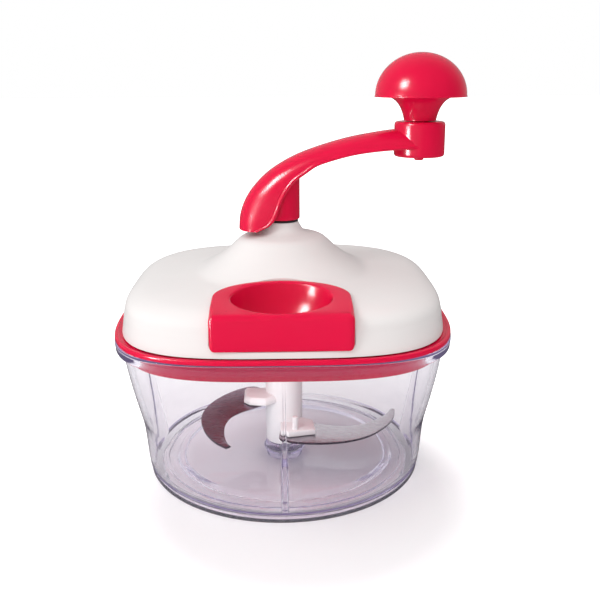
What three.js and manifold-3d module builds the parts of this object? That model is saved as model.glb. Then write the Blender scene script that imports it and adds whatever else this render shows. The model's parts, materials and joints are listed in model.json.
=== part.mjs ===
import * as THREE from "three";
import { mergeVertices } from "three/addons/utils/BufferGeometryUtils.js";
import Module from "manifold-3d";

// Crank food chopper, in millimetres, +Z up. The crank and the blades turn about the Z axis, the bowl
// stands on Z = 0 and the funnel faces -Y. At rest the crank arm points along +X.

const wasm = await Module();
wasm.setup();

// Clearances and facets
const gap = 0.3; // between pieces that rest or run on each other
const overrun = 2; // how far a cut runs past the face it opens
const aroundCount = 36; // points round a rounded-square outline
const roundCount = 24; // sides of a revolved piece
const smallRoundCount = 12; // sides of a pin or a hole

// Bowl
const bowlRadius = 75; // outside of the round lower wall
const bowlHeight = 84.2;
const bowlWall = 2.5;
const kneeHeight = 29; // where the round wall starts to flare
const kneeFlare = 2.2; // how much wider the knee is than the foot of the wall
const rimFlare = 7.9; // how much wider the wall is at the rim, across the flats
const rimExponent = 3.45; // 2 is a circle, more is squarer
const flareBulgeShare = 0.2; // how far the flare bulges out of a straight cone
const lipWidth = 2.6;
const lipHeight = 4.7;
const lipEdge = 0.8;
const footInset = 0.6; // the foot is this much narrower than the wall above
const footHeight = 4;
const footEdge = 0.8;
const footWidth = 6;
const footRecess = 1.8; // hollow under the gutter
const padRadius = 9; // flat pad under the pivot pin
const floorHeight = 4.3; // top of the floor in the gutter round the disc
const floorFillet = 2;
const gutterWidth = 16.6; // from the outside of the wall to the raised part of the floor
const discHeight = 6.5;
const discEdge = 0.8;
const bossRim = 0.7; // how far the boss under the column stands out from it
const bossHeight = 9.7;
const finThickness = 3;
const finGrip = 6.8; // how far the fin stands in from the wall near the floor
const finStart = 13.5; // height where the fin is deepest
const finToe = 4.5; // how far the fin's foot draws back from there

// Pivot pin and blade column
const pinRadius = 3;
const pinSeat = 2.5; // height of the bottom of the pin's blind hole
const pinHeadroom = 15.3; // from the top of the pin to the column's shoulder
const pinEdge = 0.8;
const columnRadius = 10.3;
const columnEdge = 0.6;
const plugFlats = 8.6; // across the flats of the hexagonal plug
const plugHeight = 8.2;
const plugEdge = 0.8;

// Blades and their holders
const bladeInset = 8.3; // from the outside of the bowl's wall to the tip of the blade
const bladeThickness = 1.2;
const lowerBladeHeight = 19; // underside of the lower blade
const upperBladeHeight = 33;
const upperBladeTurn = -125; // from the lower blade round to the upper one, in degrees
const lowerHolderThickness = 3.2;
const upperHolderThickness = 5.4;
const lowerHolderTopShare = 1; // top of the holder as a share of its foot
const upperHolderTopShare = 0.84;
const rivetRadius = 1.6;
const lowerRivetRise = 7.2; // above the holder
const upperRivetDrop = 1.6; // end of the blind rivet below the top of its holder
const rivetHeadRadius = 3;
const rivetHeadHeight = 1.4;

// Lid base
const flangeInset = 0.3; // edge of the ledge inside the edge of the bowl's lip
const flangeThickness = 2.5;
const flangeEdge = 0.8;
const skirtDepth = 9.6;
const skirtThickness = 2;
const skirtClearance = 0.5;

// Cover
const ledgeWidth = 2.2; // strip of the ledge left bare round the cover
const coverWall = 2.5;
const neckRadius = 8.4;
const neckRise = 47; // from the ledge to the top of the neck
const neckWall = 2;

// Drive gears
const gearModule = 1.25;
const ringTeeth = 36;
const idlerTeeth = 12;
const pinionTeeth = 12;
const pressureAngle = 22; // degrees
const addendumShare = 0.8; // of the module
const dedendumShare = 1.05;
const backlash = 0.18; // taken off each flank
const gearWidth = 5.5;
const ringRim = 2.6; // behind the teeth
const ringDisc = 2.5;
const hubRadius = 5;
const hubWall = 1.4;
const bushWall = 1.5;
const bushFlange = 0.8;
const bushInset = 0.9; // edge of the bush inside the edge of the post
const bushLength = 16;
const keyFlats = 6.9; // square end of the hub
const keyLength = 12;
const spindleRadius = 7.2;
const spindleNeck = 1.4; // drawn in below the pinion's teeth
const spindleLength = 13.4;
const socketDepth = 9;
const idlerAxleRadius = 2;
const axleSeat = 2.4;
const outputBushWall = 1.5;
const outputTubeWall = 2.4;
const outputTubeDepth = 9;

// Crank arm
const crankReach = 71.6; // from the crank axis to the knob axis
const armFootShare = 0.33; // foot of the channel behind the crank axis, as a share of the reach
const armRise = 52; // from the foot of the channel to its crest at the knob boss
const armFootDrop = 5.2; // foot of the channel below the foot of the post
const armHalfWidth = 12.5;
const armTipInset = 0.6; // side of the arm inside the side of the boss, where they meet
const armWall = 2.3;
const armHollowDepth = 6; // how far the cut of the hollow runs below the arm's lip
const armExponent = 2.2; // of the channel's rounded section
const postRadius = 9.3;
const bossOuterRadius = 13.1;
const bossLength = 18;
const bossEdge = 1.4;
const bossCrestDrop = 3.4; // top of the boss above the crest of the arm
const bossFloor = 2.6;
const keySocketClearance = 0.35;

// Knob
const domeRadius = 23.35;
const domeRise = 22.2;
const domeLip = 0.6;
const domeWall = 2.6;
const stemRadius = 8.3;
const stemHeight = 12;
const stemTopRadius = 17;
const stemPlate = 2.2;
const axleRadius = 4;

// Screws and the rivet of the knob
const screwRadius = 1.5;
const screwHeadRadius = 2.6;
const screwHeadHeight = 1.6;
const headFlatShare = 0.7; // flat end of a head, of its radius
const headSideShare = 0.6; // straight side of a head, of its height
const knobRivetHeadRadius = 2.7;
const knobRivetHeadHeight = 1.8;
const knobRivetLength = 12;
const coverScrewPlace = 46; // from the axis along X and along Y
const coverScrewLength = 14;
const screwBossWall = 2.6;
const crankScrewLength = 26;

// Feed funnel
const funnelHalf = 32.3; // half width of the block
const funnelReach = 24.5; // from the front of the cover to the centre of the funnel's rounded back
const funnelBack = 20; // from that centre to the back
const funnelSill = 2.7; // strip of the cover left under the block
const funnelFrontRise = 16.8; // straight part of the front face
const funnelLean = 0.3; // how far the front face leans back
const funnelShoulder = 2.8;
const funnelSlope = 4.6; // rise of the top face from front to back
const funnelWall = 2;
const funnelClearance = 0.45;
const dishHalf = 23.7; // half width of the dish
const dishDepth = 19;
const dishSquashShare = 0.8; // depth of the oval as a share of its width
const dishSetback = 22; // from the front of the cover to the centre of the dish
const spoutRadius = 4.2;
const spoutLength = 16;

// Places worked out from the sizes above
const rad = Math.PI / 180;
const rimHalf = bowlRadius + rimFlare;
const discRadius = bowlRadius - gutterWidth;
const bladeReach = bowlRadius - bladeInset;
const flangeHalf = rimHalf + lipWidth - flangeInset;
const coverHalf = flangeHalf - ledgeWidth;
const funnelCentre = coverHalf - funnelReach;
const dishCentre = coverHalf - dishSetback;
const flangeBottom = bowlHeight + gap;
const flangeTop = flangeBottom + flangeThickness;
const coverBottom = flangeTop + gap;
const spindleBottom = flangeTop - spindleLength;
const columnTop = spindleBottom - gap;
const pinTop = columnTop - pinHeadroom;
const neckTop = flangeTop + neckRise;
const postBottom = neckTop + bushFlange + 2 * gap;
const armFoot = postBottom - armFootDrop;
const armCrest = armFoot + armRise;
const bossTop = armCrest + bossCrestDrop;
const bossBottom = bossTop - bossLength;
const lipBottom = bowlHeight - lipHeight;
const gearBottom = flangeTop + gap;
const gearTop = gearBottom + gearWidth;
const discBottom = gearTop + gap;
const discTop = discBottom + ringDisc;
const hubTop = postBottom + keyLength;
const ringRadius = (gearModule * ringTeeth) / 2;
const idlerRadius = (gearModule * idlerTeeth) / 2;
const pinionRadius = (gearModule * pinionTeeth) / 2;
const idlerPlace = ringRadius - idlerRadius;
const neckBore = hubRadius + bushWall + 2 * gap;
const funnelBottom = coverBottom + funnelSill + gap;

// Materials
function plastic(color, roughness) {
  return new THREE.MeshStandardMaterial({ color, roughness, metalness: 0 });
}

const red = plastic(0xd9153f, 0.25);
const white = plastic(0xf1efec, 0.4);
const dark = plastic(0x2c2c30, 0.5);
const steel = new THREE.MeshStandardMaterial({ color: 0xb9bbbf, roughness: 0.3, metalness: 1 });
const clear = plastic(0xe4ecf2, 0.06);
clear.transparent = true;
clear.opacity = 0.35;

const model = new THREE.Group();

// Solids and meshes
function toSolid(geometry) {
  const bare = geometry.clone();
  bare.deleteAttribute("normal");
  bare.deleteAttribute("uv");
  const merged = mergeVertices(bare, 1e-5);
  const positions = merged.getAttribute("position").array;
  const vertProperties = new Float32Array(positions);
  const triVerts = new Uint32Array(merged.getIndex().array);
  return new wasm.Manifold(new wasm.Mesh({ numProp: 3, vertProperties, triVerts }));
}

function toGeometry(solid) {
  const mesh = solid.getMesh();
  const geometry = new THREE.BufferGeometry();
  geometry.setAttribute("position", new THREE.BufferAttribute(mesh.vertProperties, 3));
  geometry.setIndex(new THREE.BufferAttribute(mesh.triVerts, 1));
  geometry.computeVertexNormals();
  return geometry;
}

function addPiece(name, solid, material) {
  const mesh = new THREE.Mesh(toGeometry(solid), material);
  mesh.name = name;
  model.add(mesh);
}

function joined(solids) {
  return solids.reduce((sum, solid) => sum.add(solid));
}

// Skin over a stack of rings with the same number of points, counter-clockwise seen from above. The two
// ends are capped, or the last ring runs back to the first.
function loft(rings, closed = false) {
  const count = rings[0].length;
  const points = rings.flat();
  const index = [];
  const steps = closed ? rings.length : rings.length - 1;
  for (let step = 0; step < steps; step += 1) {
    const low = step * count;
    const high = ((step + 1) % rings.length) * count;
    for (let i = 0; i < count; i += 1) {
      const next = (i + 1) % count;
      index.push(low + i, low + next, high + next, low + i, high + next, high + i);
    }
  }
  if (!closed) {
    const last = (rings.length - 1) * count;
    for (let i = 1; i < count - 1; i += 1) {
      index.push(0, i + 1, i, last, last + i, last + i + 1);
    }
  }
  const geometry = new THREE.BufferGeometry();
  const coordinates = points.flatMap((point) => point.toArray());
  geometry.setAttribute("position", new THREE.Float32BufferAttribute(coordinates, 3));
  geometry.setIndex(index);
  return toSolid(geometry);
}

// Outline between a circle and a square, at one height
function squareRing(half, exponent, z) {
  return Array.from({ length: aroundCount }, (_, i) => {
    const angle = (2 * Math.PI * i) / aroundCount;
    const cosine = Math.cos(angle);
    const sine = Math.sin(angle);
    const sum = Math.abs(cosine) ** exponent + Math.abs(sine) ** exponent;
    const radius = half / sum ** (1 / exponent);
    return new THREE.Vector3(radius * cosine, radius * sine, z);
  });
}

// Solid of revolution about Z from a list of [radius, height]
function revolve(profile, sides = roundCount) {
  const points = profile.map(([radius, height]) => new THREE.Vector2(radius, height));
  return toSolid(new THREE.LatheGeometry(points, sides).rotateX(Math.PI / 2));
}

function cylinder(radius, bottom, top, sides = smallRoundCount) {
  const geometry = new THREE.CylinderGeometry(radius, radius, top - bottom, sides);
  return toSolid(geometry.rotateX(Math.PI / 2).translate(0, 0, (top + bottom) / 2));
}

// Cylinder with a bevel at the top
function peg(radius, bottom, top, edge, sides = smallRoundCount) {
  const profile = [[0, bottom], [radius, bottom], [radius, top - edge], [radius - edge, top], [0, top]];
  return revolve(profile, sides);
}

function tube(outer, inner, bottom, top, sides = roundCount) {
  return revolve([[inner, bottom], [outer, bottom], [outer, top], [inner, top], [inner, bottom]], sides);
}

function block(width, depth, bottom, top) {
  const geometry = new THREE.BoxGeometry(width, depth, top - bottom);
  return toSolid(geometry.translate(0, 0, (top + bottom) / 2));
}

function prism(shape, bottom, top) {
  const options = { depth: top - bottom, bevelEnabled: false, curveSegments: 10 };
  const geometry = new THREE.ExtrudeGeometry(shape, options);
  return toSolid(geometry.translate(0, 0, bottom));
}

// Six-sided prism given by the distance across its flats
function hexagon(flats, bottom, top) {
  return cylinder(flats / 2 / Math.cos(Math.PI / 6), bottom, top, 6);
}

// Pan-head screw or rivet with its head at the bottom
function screw(seat, headRadius, headHeight, length) {
  const profile = [
    [0, seat - headHeight],
    [headRadius * headFlatShare, seat - headHeight],
    [headRadius, seat - headHeight * headSideShare],
    [headRadius, seat],
    [screwRadius, seat],
    [screwRadius, seat + length - screwRadius],
    [0, seat + length],
  ];
  return revolve(profile, smallRoundCount);
}

// Bowl wall: round up to the knee, then flaring to the rounded-square rim
function flareShare(z) {
  const share = Math.max(0, (z - kneeHeight) / (bowlHeight - kneeHeight));
  return Math.min(1, share * (1 + flareBulgeShare * (1 - share)));
}

function wallHalf(z) {
  const low = bowlRadius + (kneeFlare * Math.min(z, kneeHeight)) / kneeHeight;
  return low + (rimHalf - bowlRadius - kneeFlare) * flareShare(z);
}

function wallRing(z, inset = 0, height = z) {
  const exponent = 2 + (rimExponent - 2) * flareShare(z);
  return squareRing(wallHalf(z) - inset, exponent, height);
}

function levels(bottom, top, count) {
  return Array.from({ length: count + 1 }, (_, i) => bottom + ((top - bottom) * i) / count);
}

function bowlFin() {
  const rise = bowlHeight - skirtDepth - gap;
  const middle = (z) => wallHalf(z) - bowlWall / 2;
  const toe = middle(finStart) - finGrip - bowlWall / 2;
  const shape = new THREE.Shape();
  shape.moveTo(toe, finStart);
  shape.lineTo(middle(rise) - bowlWall / 2, rise);
  [...levels(floorHeight - bowlWall / 2, rise, 5)].reverse().forEach((z) => shape.lineTo(middle(z), z));
  shape.lineTo(toe + finToe, floorHeight - bowlWall / 2);
  const geometry = new THREE.ExtrudeGeometry(shape, { depth: finThickness, bevelEnabled: false });
  return toSolid(geometry.translate(0, 0, -finThickness / 2).rotateX(Math.PI / 2));
}

function makeBowl() {
  const footRadius = bowlRadius - footInset;
  const filletMiddle = floorFillet * (1 - Math.SQRT1_2);
  const outer = [
    squareRing(footRadius - footEdge, 2, 0),
    squareRing(footRadius, 2, footEdge),
    squareRing(footRadius, 2, footHeight),
    wallRing(footHeight + footInset),
    wallRing(kneeHeight / 2),
    ...levels(kneeHeight, lipBottom, 4).map((z) => wallRing(z)),
    wallRing(lipBottom, -lipWidth, lipBottom + lipEdge),
    wallRing(bowlHeight, -lipWidth, bowlHeight - lipEdge),
    wallRing(bowlHeight, lipEdge - lipWidth),
  ];
  const inner = [
    wallRing(floorHeight, bowlWall + floorFillet),
    wallRing(floorHeight, bowlWall + filletMiddle, floorHeight + filletMiddle),
    wallRing(floorHeight + floorFillet, bowlWall),
    wallRing(kneeHeight / 2, bowlWall),
    ...levels(kneeHeight, bowlHeight, 4).map((z) => wallRing(z, bowlWall)),
    wallRing(bowlHeight, bowlWall, bowlHeight + overrun),
  ];
  const base = floorHeight - footRecess / 2;
  const bossRadius = columnRadius + bossRim;
  const discRecess = footRecess + discHeight - floorHeight;
  const floorDisc = revolve([
    [0, base],
    [discRadius, base],
    [discRadius, discHeight - discEdge],
    [discRadius - discEdge, discHeight],
    [bossRadius, discHeight],
    [bossRadius, bossHeight],
    [0, bossHeight],
  ]);
  const fin = bowlFin();
  const fins = levels(0, 270, 3).map((angle) => fin.rotate([0, 0, angle]));
  const shell = loft(outer).subtract(loft(inner));
  return joined([shell, floorDisc, ...fins])
    .subtract(tube(footRadius - footWidth, padRadius, -overrun, footRecess))
    .subtract(tube(discRadius - bowlWall, padRadius, -overrun, discRecess))
    .subtract(cylinder(pinRadius + gap, pinSeat, bossHeight + overrun));
}

// Outlines in the plane of a blade, as shares of its reach. The lower blade lies as drawn here.
const bladeOuterShares = [
  [-0.045, -0.322], [-0.024, -0.363], [0.027, -0.394], [0.09, -0.418], [0.165, -0.433], [0.255, -0.442],
  [0.345, -0.441], [0.435, -0.429], [0.517, -0.409], [0.6, -0.376], [0.675, -0.333], [0.75, -0.273],
  [0.822, -0.193], [0.885, -0.109], [0.934, -0.018], [0.969, 0.075], [0.985, 0.168],
];
const bladeInnerShares = [
  [0.943, 0.183], [0.925, 0.144], [0.891, 0.093], [0.844, 0.042], [0.789, -0.009], [0.729, -0.054],
  [0.669, -0.09], [0.607, -0.115], [0.544, -0.13], [0.48, -0.129], [0.42, -0.118], [0.366, -0.102],
  [0.255, -0.069],
];
const lowerHolderShares = [
  [-0.03, -0.12], [-0.027, -0.305], [0.027, -0.349], [0.255, -0.305], [0.234, -0.12], [0.105, -0.045],
];
const upperHolderShares = [
  [0.03, -0.12], [0.138, -0.336], [0.319, -0.201], [0.336, -0.126], [0.268, 0], [0.09, 0.045],
];
const lowerRivetShares = [0.088, -0.292];
const upperRivetShares = [0.195, -0.18];

// The two blades: underside, turn about the axis, holder, and rivet with the height of its end
const lowerSeat = lowerBladeHeight + bladeThickness + gap;
const upperSeat = upperBladeHeight + bladeThickness + gap;
const lowerUnit = {
  height: lowerBladeHeight,
  turn: 0,
  seat: lowerSeat,
  holderShares: lowerHolderShares,
  holderTop: lowerSeat + lowerHolderThickness,
  topShare: lowerHolderTopShare,
  rivetShares: lowerRivetShares,
  rivetTop: lowerSeat + lowerHolderThickness + lowerRivetRise,
};
const upperUnit = {
  height: upperBladeHeight,
  turn: upperBladeTurn,
  seat: upperSeat,
  holderShares: upperHolderShares,
  holderTop: upperSeat + upperHolderThickness,
  topShare: upperHolderTopShare,
  rivetShares: upperRivetShares,
  rivetTop: upperSeat + upperHolderThickness - upperRivetDrop,
};

function toReach(shares) {
  return shares.map(([x, y]) => new THREE.Vector2(x * bladeReach, y * bladeReach));
}

function atRivet(solid, unit) {
  const [place] = toReach([unit.rivetShares]);
  return solid.translate([place.x, place.y, 0]);
}

// Holder: a block on the column that narrows a little towards its top
function makeHolder(unit) {
  const foot = toReach(unit.holderShares);
  const centre = foot.reduce((sum, point) => sum.add(point), new THREE.Vector2()).divideScalar(foot.length);
  const ring = (share, z) => foot.map((point) => {
    const place = centre.clone().lerp(point, share);
    return new THREE.Vector3(place.x, place.y, z);
  });
  const middle = (unit.seat + unit.holderTop) / 2;
  const body = loft([ring(1, unit.seat), ring(1, middle), ring(unit.topShare, unit.holderTop)]);
  const hole = cylinder(rivetRadius + gap, unit.seat - overrun, unit.rivetTop + gap);
  return body.subtract(atRivet(hole, unit)).rotate([0, 0, unit.turn]);
}

function makeColumn() {
  const bottom = bossHeight + gap;
  const body = revolve([
    [0, bottom],
    [columnRadius - columnEdge, bottom],
    [columnRadius, bottom + columnEdge],
    [columnRadius, columnTop],
    [0, columnTop],
  ]);
  const plug = hexagon(plugFlats, columnTop - overrun, columnTop + plugHeight - plugEdge);
  const nose = hexagon(plugFlats - 2 * plugEdge, columnTop, columnTop + plugHeight);
  const bore = cylinder(pinRadius + gap, bottom - overrun, pinTop + gap, smallRoundCount);
  return joined([body, plug, nose, makeHolder(lowerUnit), makeHolder(upperUnit)]).subtract(bore);
}

// Sickle blade, its root hollowed to clear the column
function makeBlade(unit) {
  const shape = new THREE.Shape(toReach([...bladeOuterShares, ...bladeInnerShares, [0, 0]]));
  const hole = cylinder(rivetRadius + gap, unit.height - overrun, unit.seat + overrun);
  return prism(shape, unit.height, unit.height + bladeThickness)
    .subtract(cylinder(columnRadius + gap, unit.height - overrun, unit.seat + overrun, roundCount))
    .subtract(atRivet(hole, unit))
    .rotate([0, 0, unit.turn]);
}

function makeRivet(unit) {
  const seat = unit.height - gap;
  const head = cylinder(rivetHeadRadius, seat - rivetHeadHeight, seat);
  const shank = peg(rivetRadius, seat - rivetHeadHeight / 2, unit.rivetTop, rivetRadius / 2);
  return atRivet(shank.add(head), unit).rotate([0, 0, unit.turn]);
}

// Outline of a gear from the involute of its base circle. A ring's hole takes the same outline with
// its teeth widened by the backlash.
function gearOutline(teeth, tip, root, side) {
  const pitch = (gearModule * teeth) / 2;
  const base = pitch * Math.cos(pressureAngle * rad);
  const involute = (radius) => {
    const angle = Math.acos(Math.min(1, base / radius));
    return Math.tan(angle) - angle;
  };
  const half = Math.PI / 2 / teeth + side / pitch;
  const flank = [root, Math.max(base, root), pitch, tip].map((radius) => {
    return [radius, half + involute(pitch) - involute(Math.max(radius, base))];
  });
  const points = [];
  for (let tooth = 0; tooth < teeth; tooth += 1) {
    const centre = (2 * Math.PI * tooth) / teeth;
    flank.forEach(([radius, angle]) => points.push([radius, centre - angle]));
    [...flank].reverse().forEach(([radius, angle]) => points.push([radius, centre + angle]));
  }
  const unique = points.filter(([radius, angle], i) => {
    const [lastRadius, lastAngle] = points[(i + points.length - 1) % points.length];
    return Math.abs(radius - lastRadius) > 1e-6 || Math.abs(angle - lastAngle) > 1e-6;
  });
  return unique.map(([radius, angle]) => {
    return new THREE.Vector2(radius * Math.cos(angle), radius * Math.sin(angle));
  });
}

function outerGear(teeth) {
  const pitch = (gearModule * teeth) / 2;
  const outline = gearOutline(
    teeth,
    pitch + addendumShare * gearModule,
    pitch - dedendumShare * gearModule,
    -backlash,
  );
  return prism(new THREE.Shape(outline), gearBottom, gearTop);
}

function makeRingGear() {
  const outline = gearOutline(
    ringTeeth,
    ringRadius + dedendumShare * gearModule,
    ringRadius - addendumShare * gearModule,
    backlash,
  );
  const space = prism(new THREE.Shape(outline), gearBottom - overrun, discBottom);
  const outer = ringRadius + dedendumShare * gearModule + ringRim;
  const hollow = hubRadius - hubWall;
  const headSeat = hubTop - keyLength - overrun;
  const half = (180 / ringTeeth) * rad;
  return joined([
    cylinder(outer, gearBottom + gap, discTop, aroundCount),
    cylinder(hubRadius, discTop - overrun, postBottom + gap, roundCount),
    block(keyFlats, keyFlats, headSeat - overrun, hubTop - gap),
  ])
    .subtract(space.rotate([0, 0, half / rad]))
    .subtract(cylinder(hollow, discBottom - overrun, headSeat))
    .subtract(cylinder(screwRadius + gap, headSeat - overrun, hubTop + overrun));
}

function makePinion() {
  const spindle = cylinder(spindleRadius, spindleBottom, flangeTop - gap, roundCount);
  const neck = cylinder(spindleRadius - spindleNeck, flangeTop - overrun, gearBottom + overrun, roundCount);
  return joined([outerGear(pinionTeeth), spindle, neck])
    .subtract(hexagon(plugFlats + 2 * gap, spindleBottom - overrun, spindleBottom + socketDepth));
}

function makeIdler() {
  const turned = outerGear(idlerTeeth).rotate([0, 0, 180 / idlerTeeth]);
  return turned.subtract(cylinder(idlerAxleRadius + gap, gearBottom - overrun, gearTop + overrun));
}

// Lid base: ledge, skirt inside the bowl and the tube for the output bush
function makeLidBase() {
  const edge = flangeEdge;
  const plate = loft([
    squareRing(flangeHalf - edge, rimExponent, flangeBottom),
    squareRing(flangeHalf, rimExponent, flangeBottom + edge),
    squareRing(flangeHalf, rimExponent, flangeTop - edge),
    squareRing(flangeHalf - edge, rimExponent, flangeTop),
  ]);
  const skirtBottom = flangeBottom - skirtDepth;
  const outside = bowlWall + skirtClearance;
  const inside = outside + skirtThickness;
  const skirt = loft([
    wallRing(skirtBottom, outside + edge, skirtBottom),
    wallRing(skirtBottom, outside, skirtBottom + edge),
    wallRing(bowlHeight, outside, flangeBottom + edge),
    wallRing(bowlHeight, inside, flangeBottom + edge),
    wallRing(skirtBottom, inside, skirtBottom),
  ], true);
  const bore = spindleRadius + outputBushWall + 2 * gap;
  const tubeBottom = flangeBottom - outputTubeDepth;
  const bushTube = cylinder(bore + outputTubeWall, tubeBottom, flangeTop - edge, roundCount);
  const spoutHole = cylinder(spoutRadius + funnelWall + funnelClearance, skirtBottom, flangeTop + overrun);
  const screwHole = cylinder(screwRadius + gap, skirtBottom, flangeTop + overrun);
  const axleHole = cylinder(idlerAxleRadius + gap, flangeTop - axleSeat, flangeTop + overrun);
  return [...screwPlaces().map(([x, y]) => screwHole.translate([x, y, 0])),
    axleHole.translate([idlerPlace, 0, 0]),
    axleHole.translate([-idlerPlace, 0, 0]),
    spoutHole.translate([0, -dishCentre, 0]),
    cylinder(bore, skirtBottom - overrun, flangeTop + overrun, roundCount),
  ].reduce((solid, cut) => solid.subtract(cut), joined([plate, skirt, bushTube]));
}

function screwPlaces() {
  return [[1, 1], [-1, 1], [-1, -1], [1, -1]].map(([x, y]) => [x * coverScrewPlace, y * coverScrewPlace]);
}

// Cover profile, from the outer edge to the neck: shares of the way in and of the way up
const coverShares = [
  [0, 0], [0.009, 0.054], [0.023, 0.128], [0.046, 0.278], [0.064, 0.323], [0.097, 0.36], [0.147, 0.394],
  [0.228, 0.42], [0.335, 0.439], [0.523, 0.473], [0.59, 0.529], [0.67, 0.615], [0.757, 0.734],
  [0.81, 0.812], [0.84, 0.837], [0.885, 0.857], [0.934, 0.878], [0.966, 0.91], [0.987, 0.957], [1, 1],
];

function coverProfile() {
  const width = coverHalf - neckRadius;
  const height = neckTop - coverBottom;
  return coverShares.map(([inward, up]) => {
    return new THREE.Vector2(coverHalf - inward * width, coverBottom + up * height);
  });
}

function coverExponent(half) {
  const share = (half - neckRadius) / (coverHalf - neckRadius);
  return 2 + (rimExponent - 2) * Math.max(0, share) ** 1.5;
}

// Height of the cover's outside where the rounded-square outline of half width half runs
function coverHeight(half) {
  const profile = coverProfile();
  const i = profile.findIndex((point) => point.x <= half);
  const [outer, inner] = [profile[i - 1], profile[i]];
  return outer.y + ((inner.y - outer.y) * (outer.x - half)) / (outer.x - inner.x);
}

// Outside pushed in by the wall thickness, square to the profile
function innerProfile() {
  const profile = coverProfile();
  return profile.slice(1, -1).map((point, i) => {
    const along = profile[i + 2].clone().sub(profile[i]).normalize();
    return new THREE.Vector2(point.x - along.y * coverWall, point.y + along.x * coverWall);
  });
}

function makeCover() {
  const outer = coverProfile().map((point) => squareRing(point.x, coverExponent(point.x), point.y));
  const tubeRadius = neckBore + neckWall;
  const inner = innerProfile().filter((point, i) => point.x > tubeRadius && i % 3 === 1);
  const under = inner.map((point) => squareRing(point.x, coverExponent(point.x), point.y)).reverse();
  const tubeBottom = discTop + gap;
  const shell = loft([
    ...outer,
    squareRing(neckBore, 2, neckTop),
    squareRing(neckBore, 2, tubeBottom),
    squareRing(tubeRadius, 2, tubeBottom),
    squareRing(tubeRadius, 2, inner[inner.length - 1].y),
    ...under,
    squareRing(coverHalf - coverWall, rimExponent, coverBottom),
  ], true);
  const reach = (2 * coverScrewPlace ** rimExponent) ** (1 / rimExponent);
  const bossEnd = coverHeight(reach) - coverWall / 2;
  const screwBoss = cylinder(screwRadius + gap + screwBossWall, coverBottom, bossEnd);
  const pilot = cylinder(screwRadius + gap, coverBottom - overrun, coverBottom + coverScrewLength);
  const places = screwPlaces();
  const bosses = places.map(([x, y]) => screwBoss.translate([x, y, 0]));
  const holes = places.map(([x, y]) => pilot.translate([x, y, 0]));
  return joined([shell, ...bosses])
    .subtract(joined(holes))
    .subtract(prism(funnelShape(funnelClearance), coverBottom + funnelSill, neckTop));
}

// Feed funnel: outline seen from above, straight at the front and oval at the back
function funnelShape(grow) {
  const half = funnelHalf + grow;
  const front = -coverHalf - overrun;
  const shape = new THREE.Shape();
  shape.moveTo(-half, front);
  shape.lineTo(half, front);
  shape.lineTo(half, -funnelCentre);
  shape.absellipse(0, -funnelCentre, half, funnelBack + grow, 0, Math.PI, false, 0);
  shape.lineTo(-half, front);
  return shape;
}

// Rings that bound the funnel's front face, rounded shoulder and sloping top
function funnelSkin(inset) {
  const face = coverHalf - inset;
  const shoulder = funnelBottom + funnelFrontRise - funnelShoulder;
  const top = funnelBottom + funnelFrontRise - inset;
  const back = funnelCentre - funnelBack;
  const slope = funnelSlope / (face - back);
  const rings = [[face, funnelBottom - (inset ? overrun : 0)]];
  [0, 30, 60, 90].forEach((angle) => {
    const inward = funnelLean + funnelShoulder * (1 - Math.cos(angle * rad));
    rings.push([face - inward, shoulder - inset + funnelShoulder * Math.sin(angle * rad)]);
  });
  rings.push([back - overrun, top + slope * (face - back + overrun)]);
  return loft(rings.map(([half, z]) => squareRing(half, rimExponent, z)));
}

function makeFunnel() {
  const top = funnelBottom + funnelFrontRise + funnelSlope;
  const high = top + overrun;
  const block = prism(funnelShape(0), funnelBottom, high).intersect(funnelSkin(0));
  const inside = prism(funnelShape(-funnelWall), funnelBottom - overrun, high);
  const hollow = inside.intersect(funnelSkin(funnelWall));
  const bottom = top - dishDepth - spoutLength;
  const bowlShares = [[1, 0], [0.985, 0.12], [0.93, 0.3], [0.83, 0.52], [0.68, 0.74], [0.48, 0.9]];
  const dish = (grow) => {
    const wallPoints = bowlShares.map(([out, down]) => {
      return [dishHalf * out + grow, top - dishDepth * down];
    });
    const profile = [
      [0, top + overrun],
      [dishHalf + grow, top + overrun],
      ...wallPoints,
      [spoutRadius + grow, top - dishDepth - grow / 2],
      [spoutRadius + grow, grow ? bottom : bottom - overrun],
      [0, grow ? bottom : bottom - overrun],
    ];
    return revolve(profile.reverse());
  };
  const place = [0, -dishCentre, 0];
  const squash = (solid) => solid.scale([1, dishSquashShare, 1]).translate(place);
  const bowl = squash(dish(funnelWall)).intersect(prism(funnelShape(0), bottom - overrun, high));
  const lower = cylinder(dishHalf, bottom - overrun, top - dishDepth / 2).translate(place);
  const clipped = bowl.intersect(funnelSkin(0).add(lower));
  return block.subtract(hollow).add(clipped).subtract(squash(dish(0)));
}

// Crank arm: an upturned channel swept from its foot behind the post to the knob boss
function armCurve(shares) {
  const start = -armFootShare * crankReach;
  const length = crankReach - start;
  const points = shares.map(([along, up]) => {
    return new THREE.Vector2(start + along * length, armFoot + up * armRise);
  });
  return new THREE.SplineCurve(points);
}

const crestShares = [
  [0.008, 0], [0.0145, 0.1439], [0.0427, 0.2942], [0.0883, 0.4249], [0.1652, 0.5692], [0.2502, 0.6749],
  [0.3324, 0.7518], [0.4242, 0.8154], [0.5267, 0.8738], [0.6286, 0.9216], [0.7321, 0.9565],
  [0.8578, 0.9891], [1, 1],
];
const lipShares = [
  [0.1067, 0], [0.1772, 0.0638], [0.2099, 0.1363], [0.2384, 0.2812], [0.2726, 0.406], [0.3119, 0.4981],
  [0.3731, 0.5806], [0.4327, 0.6531], [0.523, 0.7103], [0.6241, 0.7574], [0.7255, 0.7868],
  [0.8481, 0.8065], [1, 0.8174],
];

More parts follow.
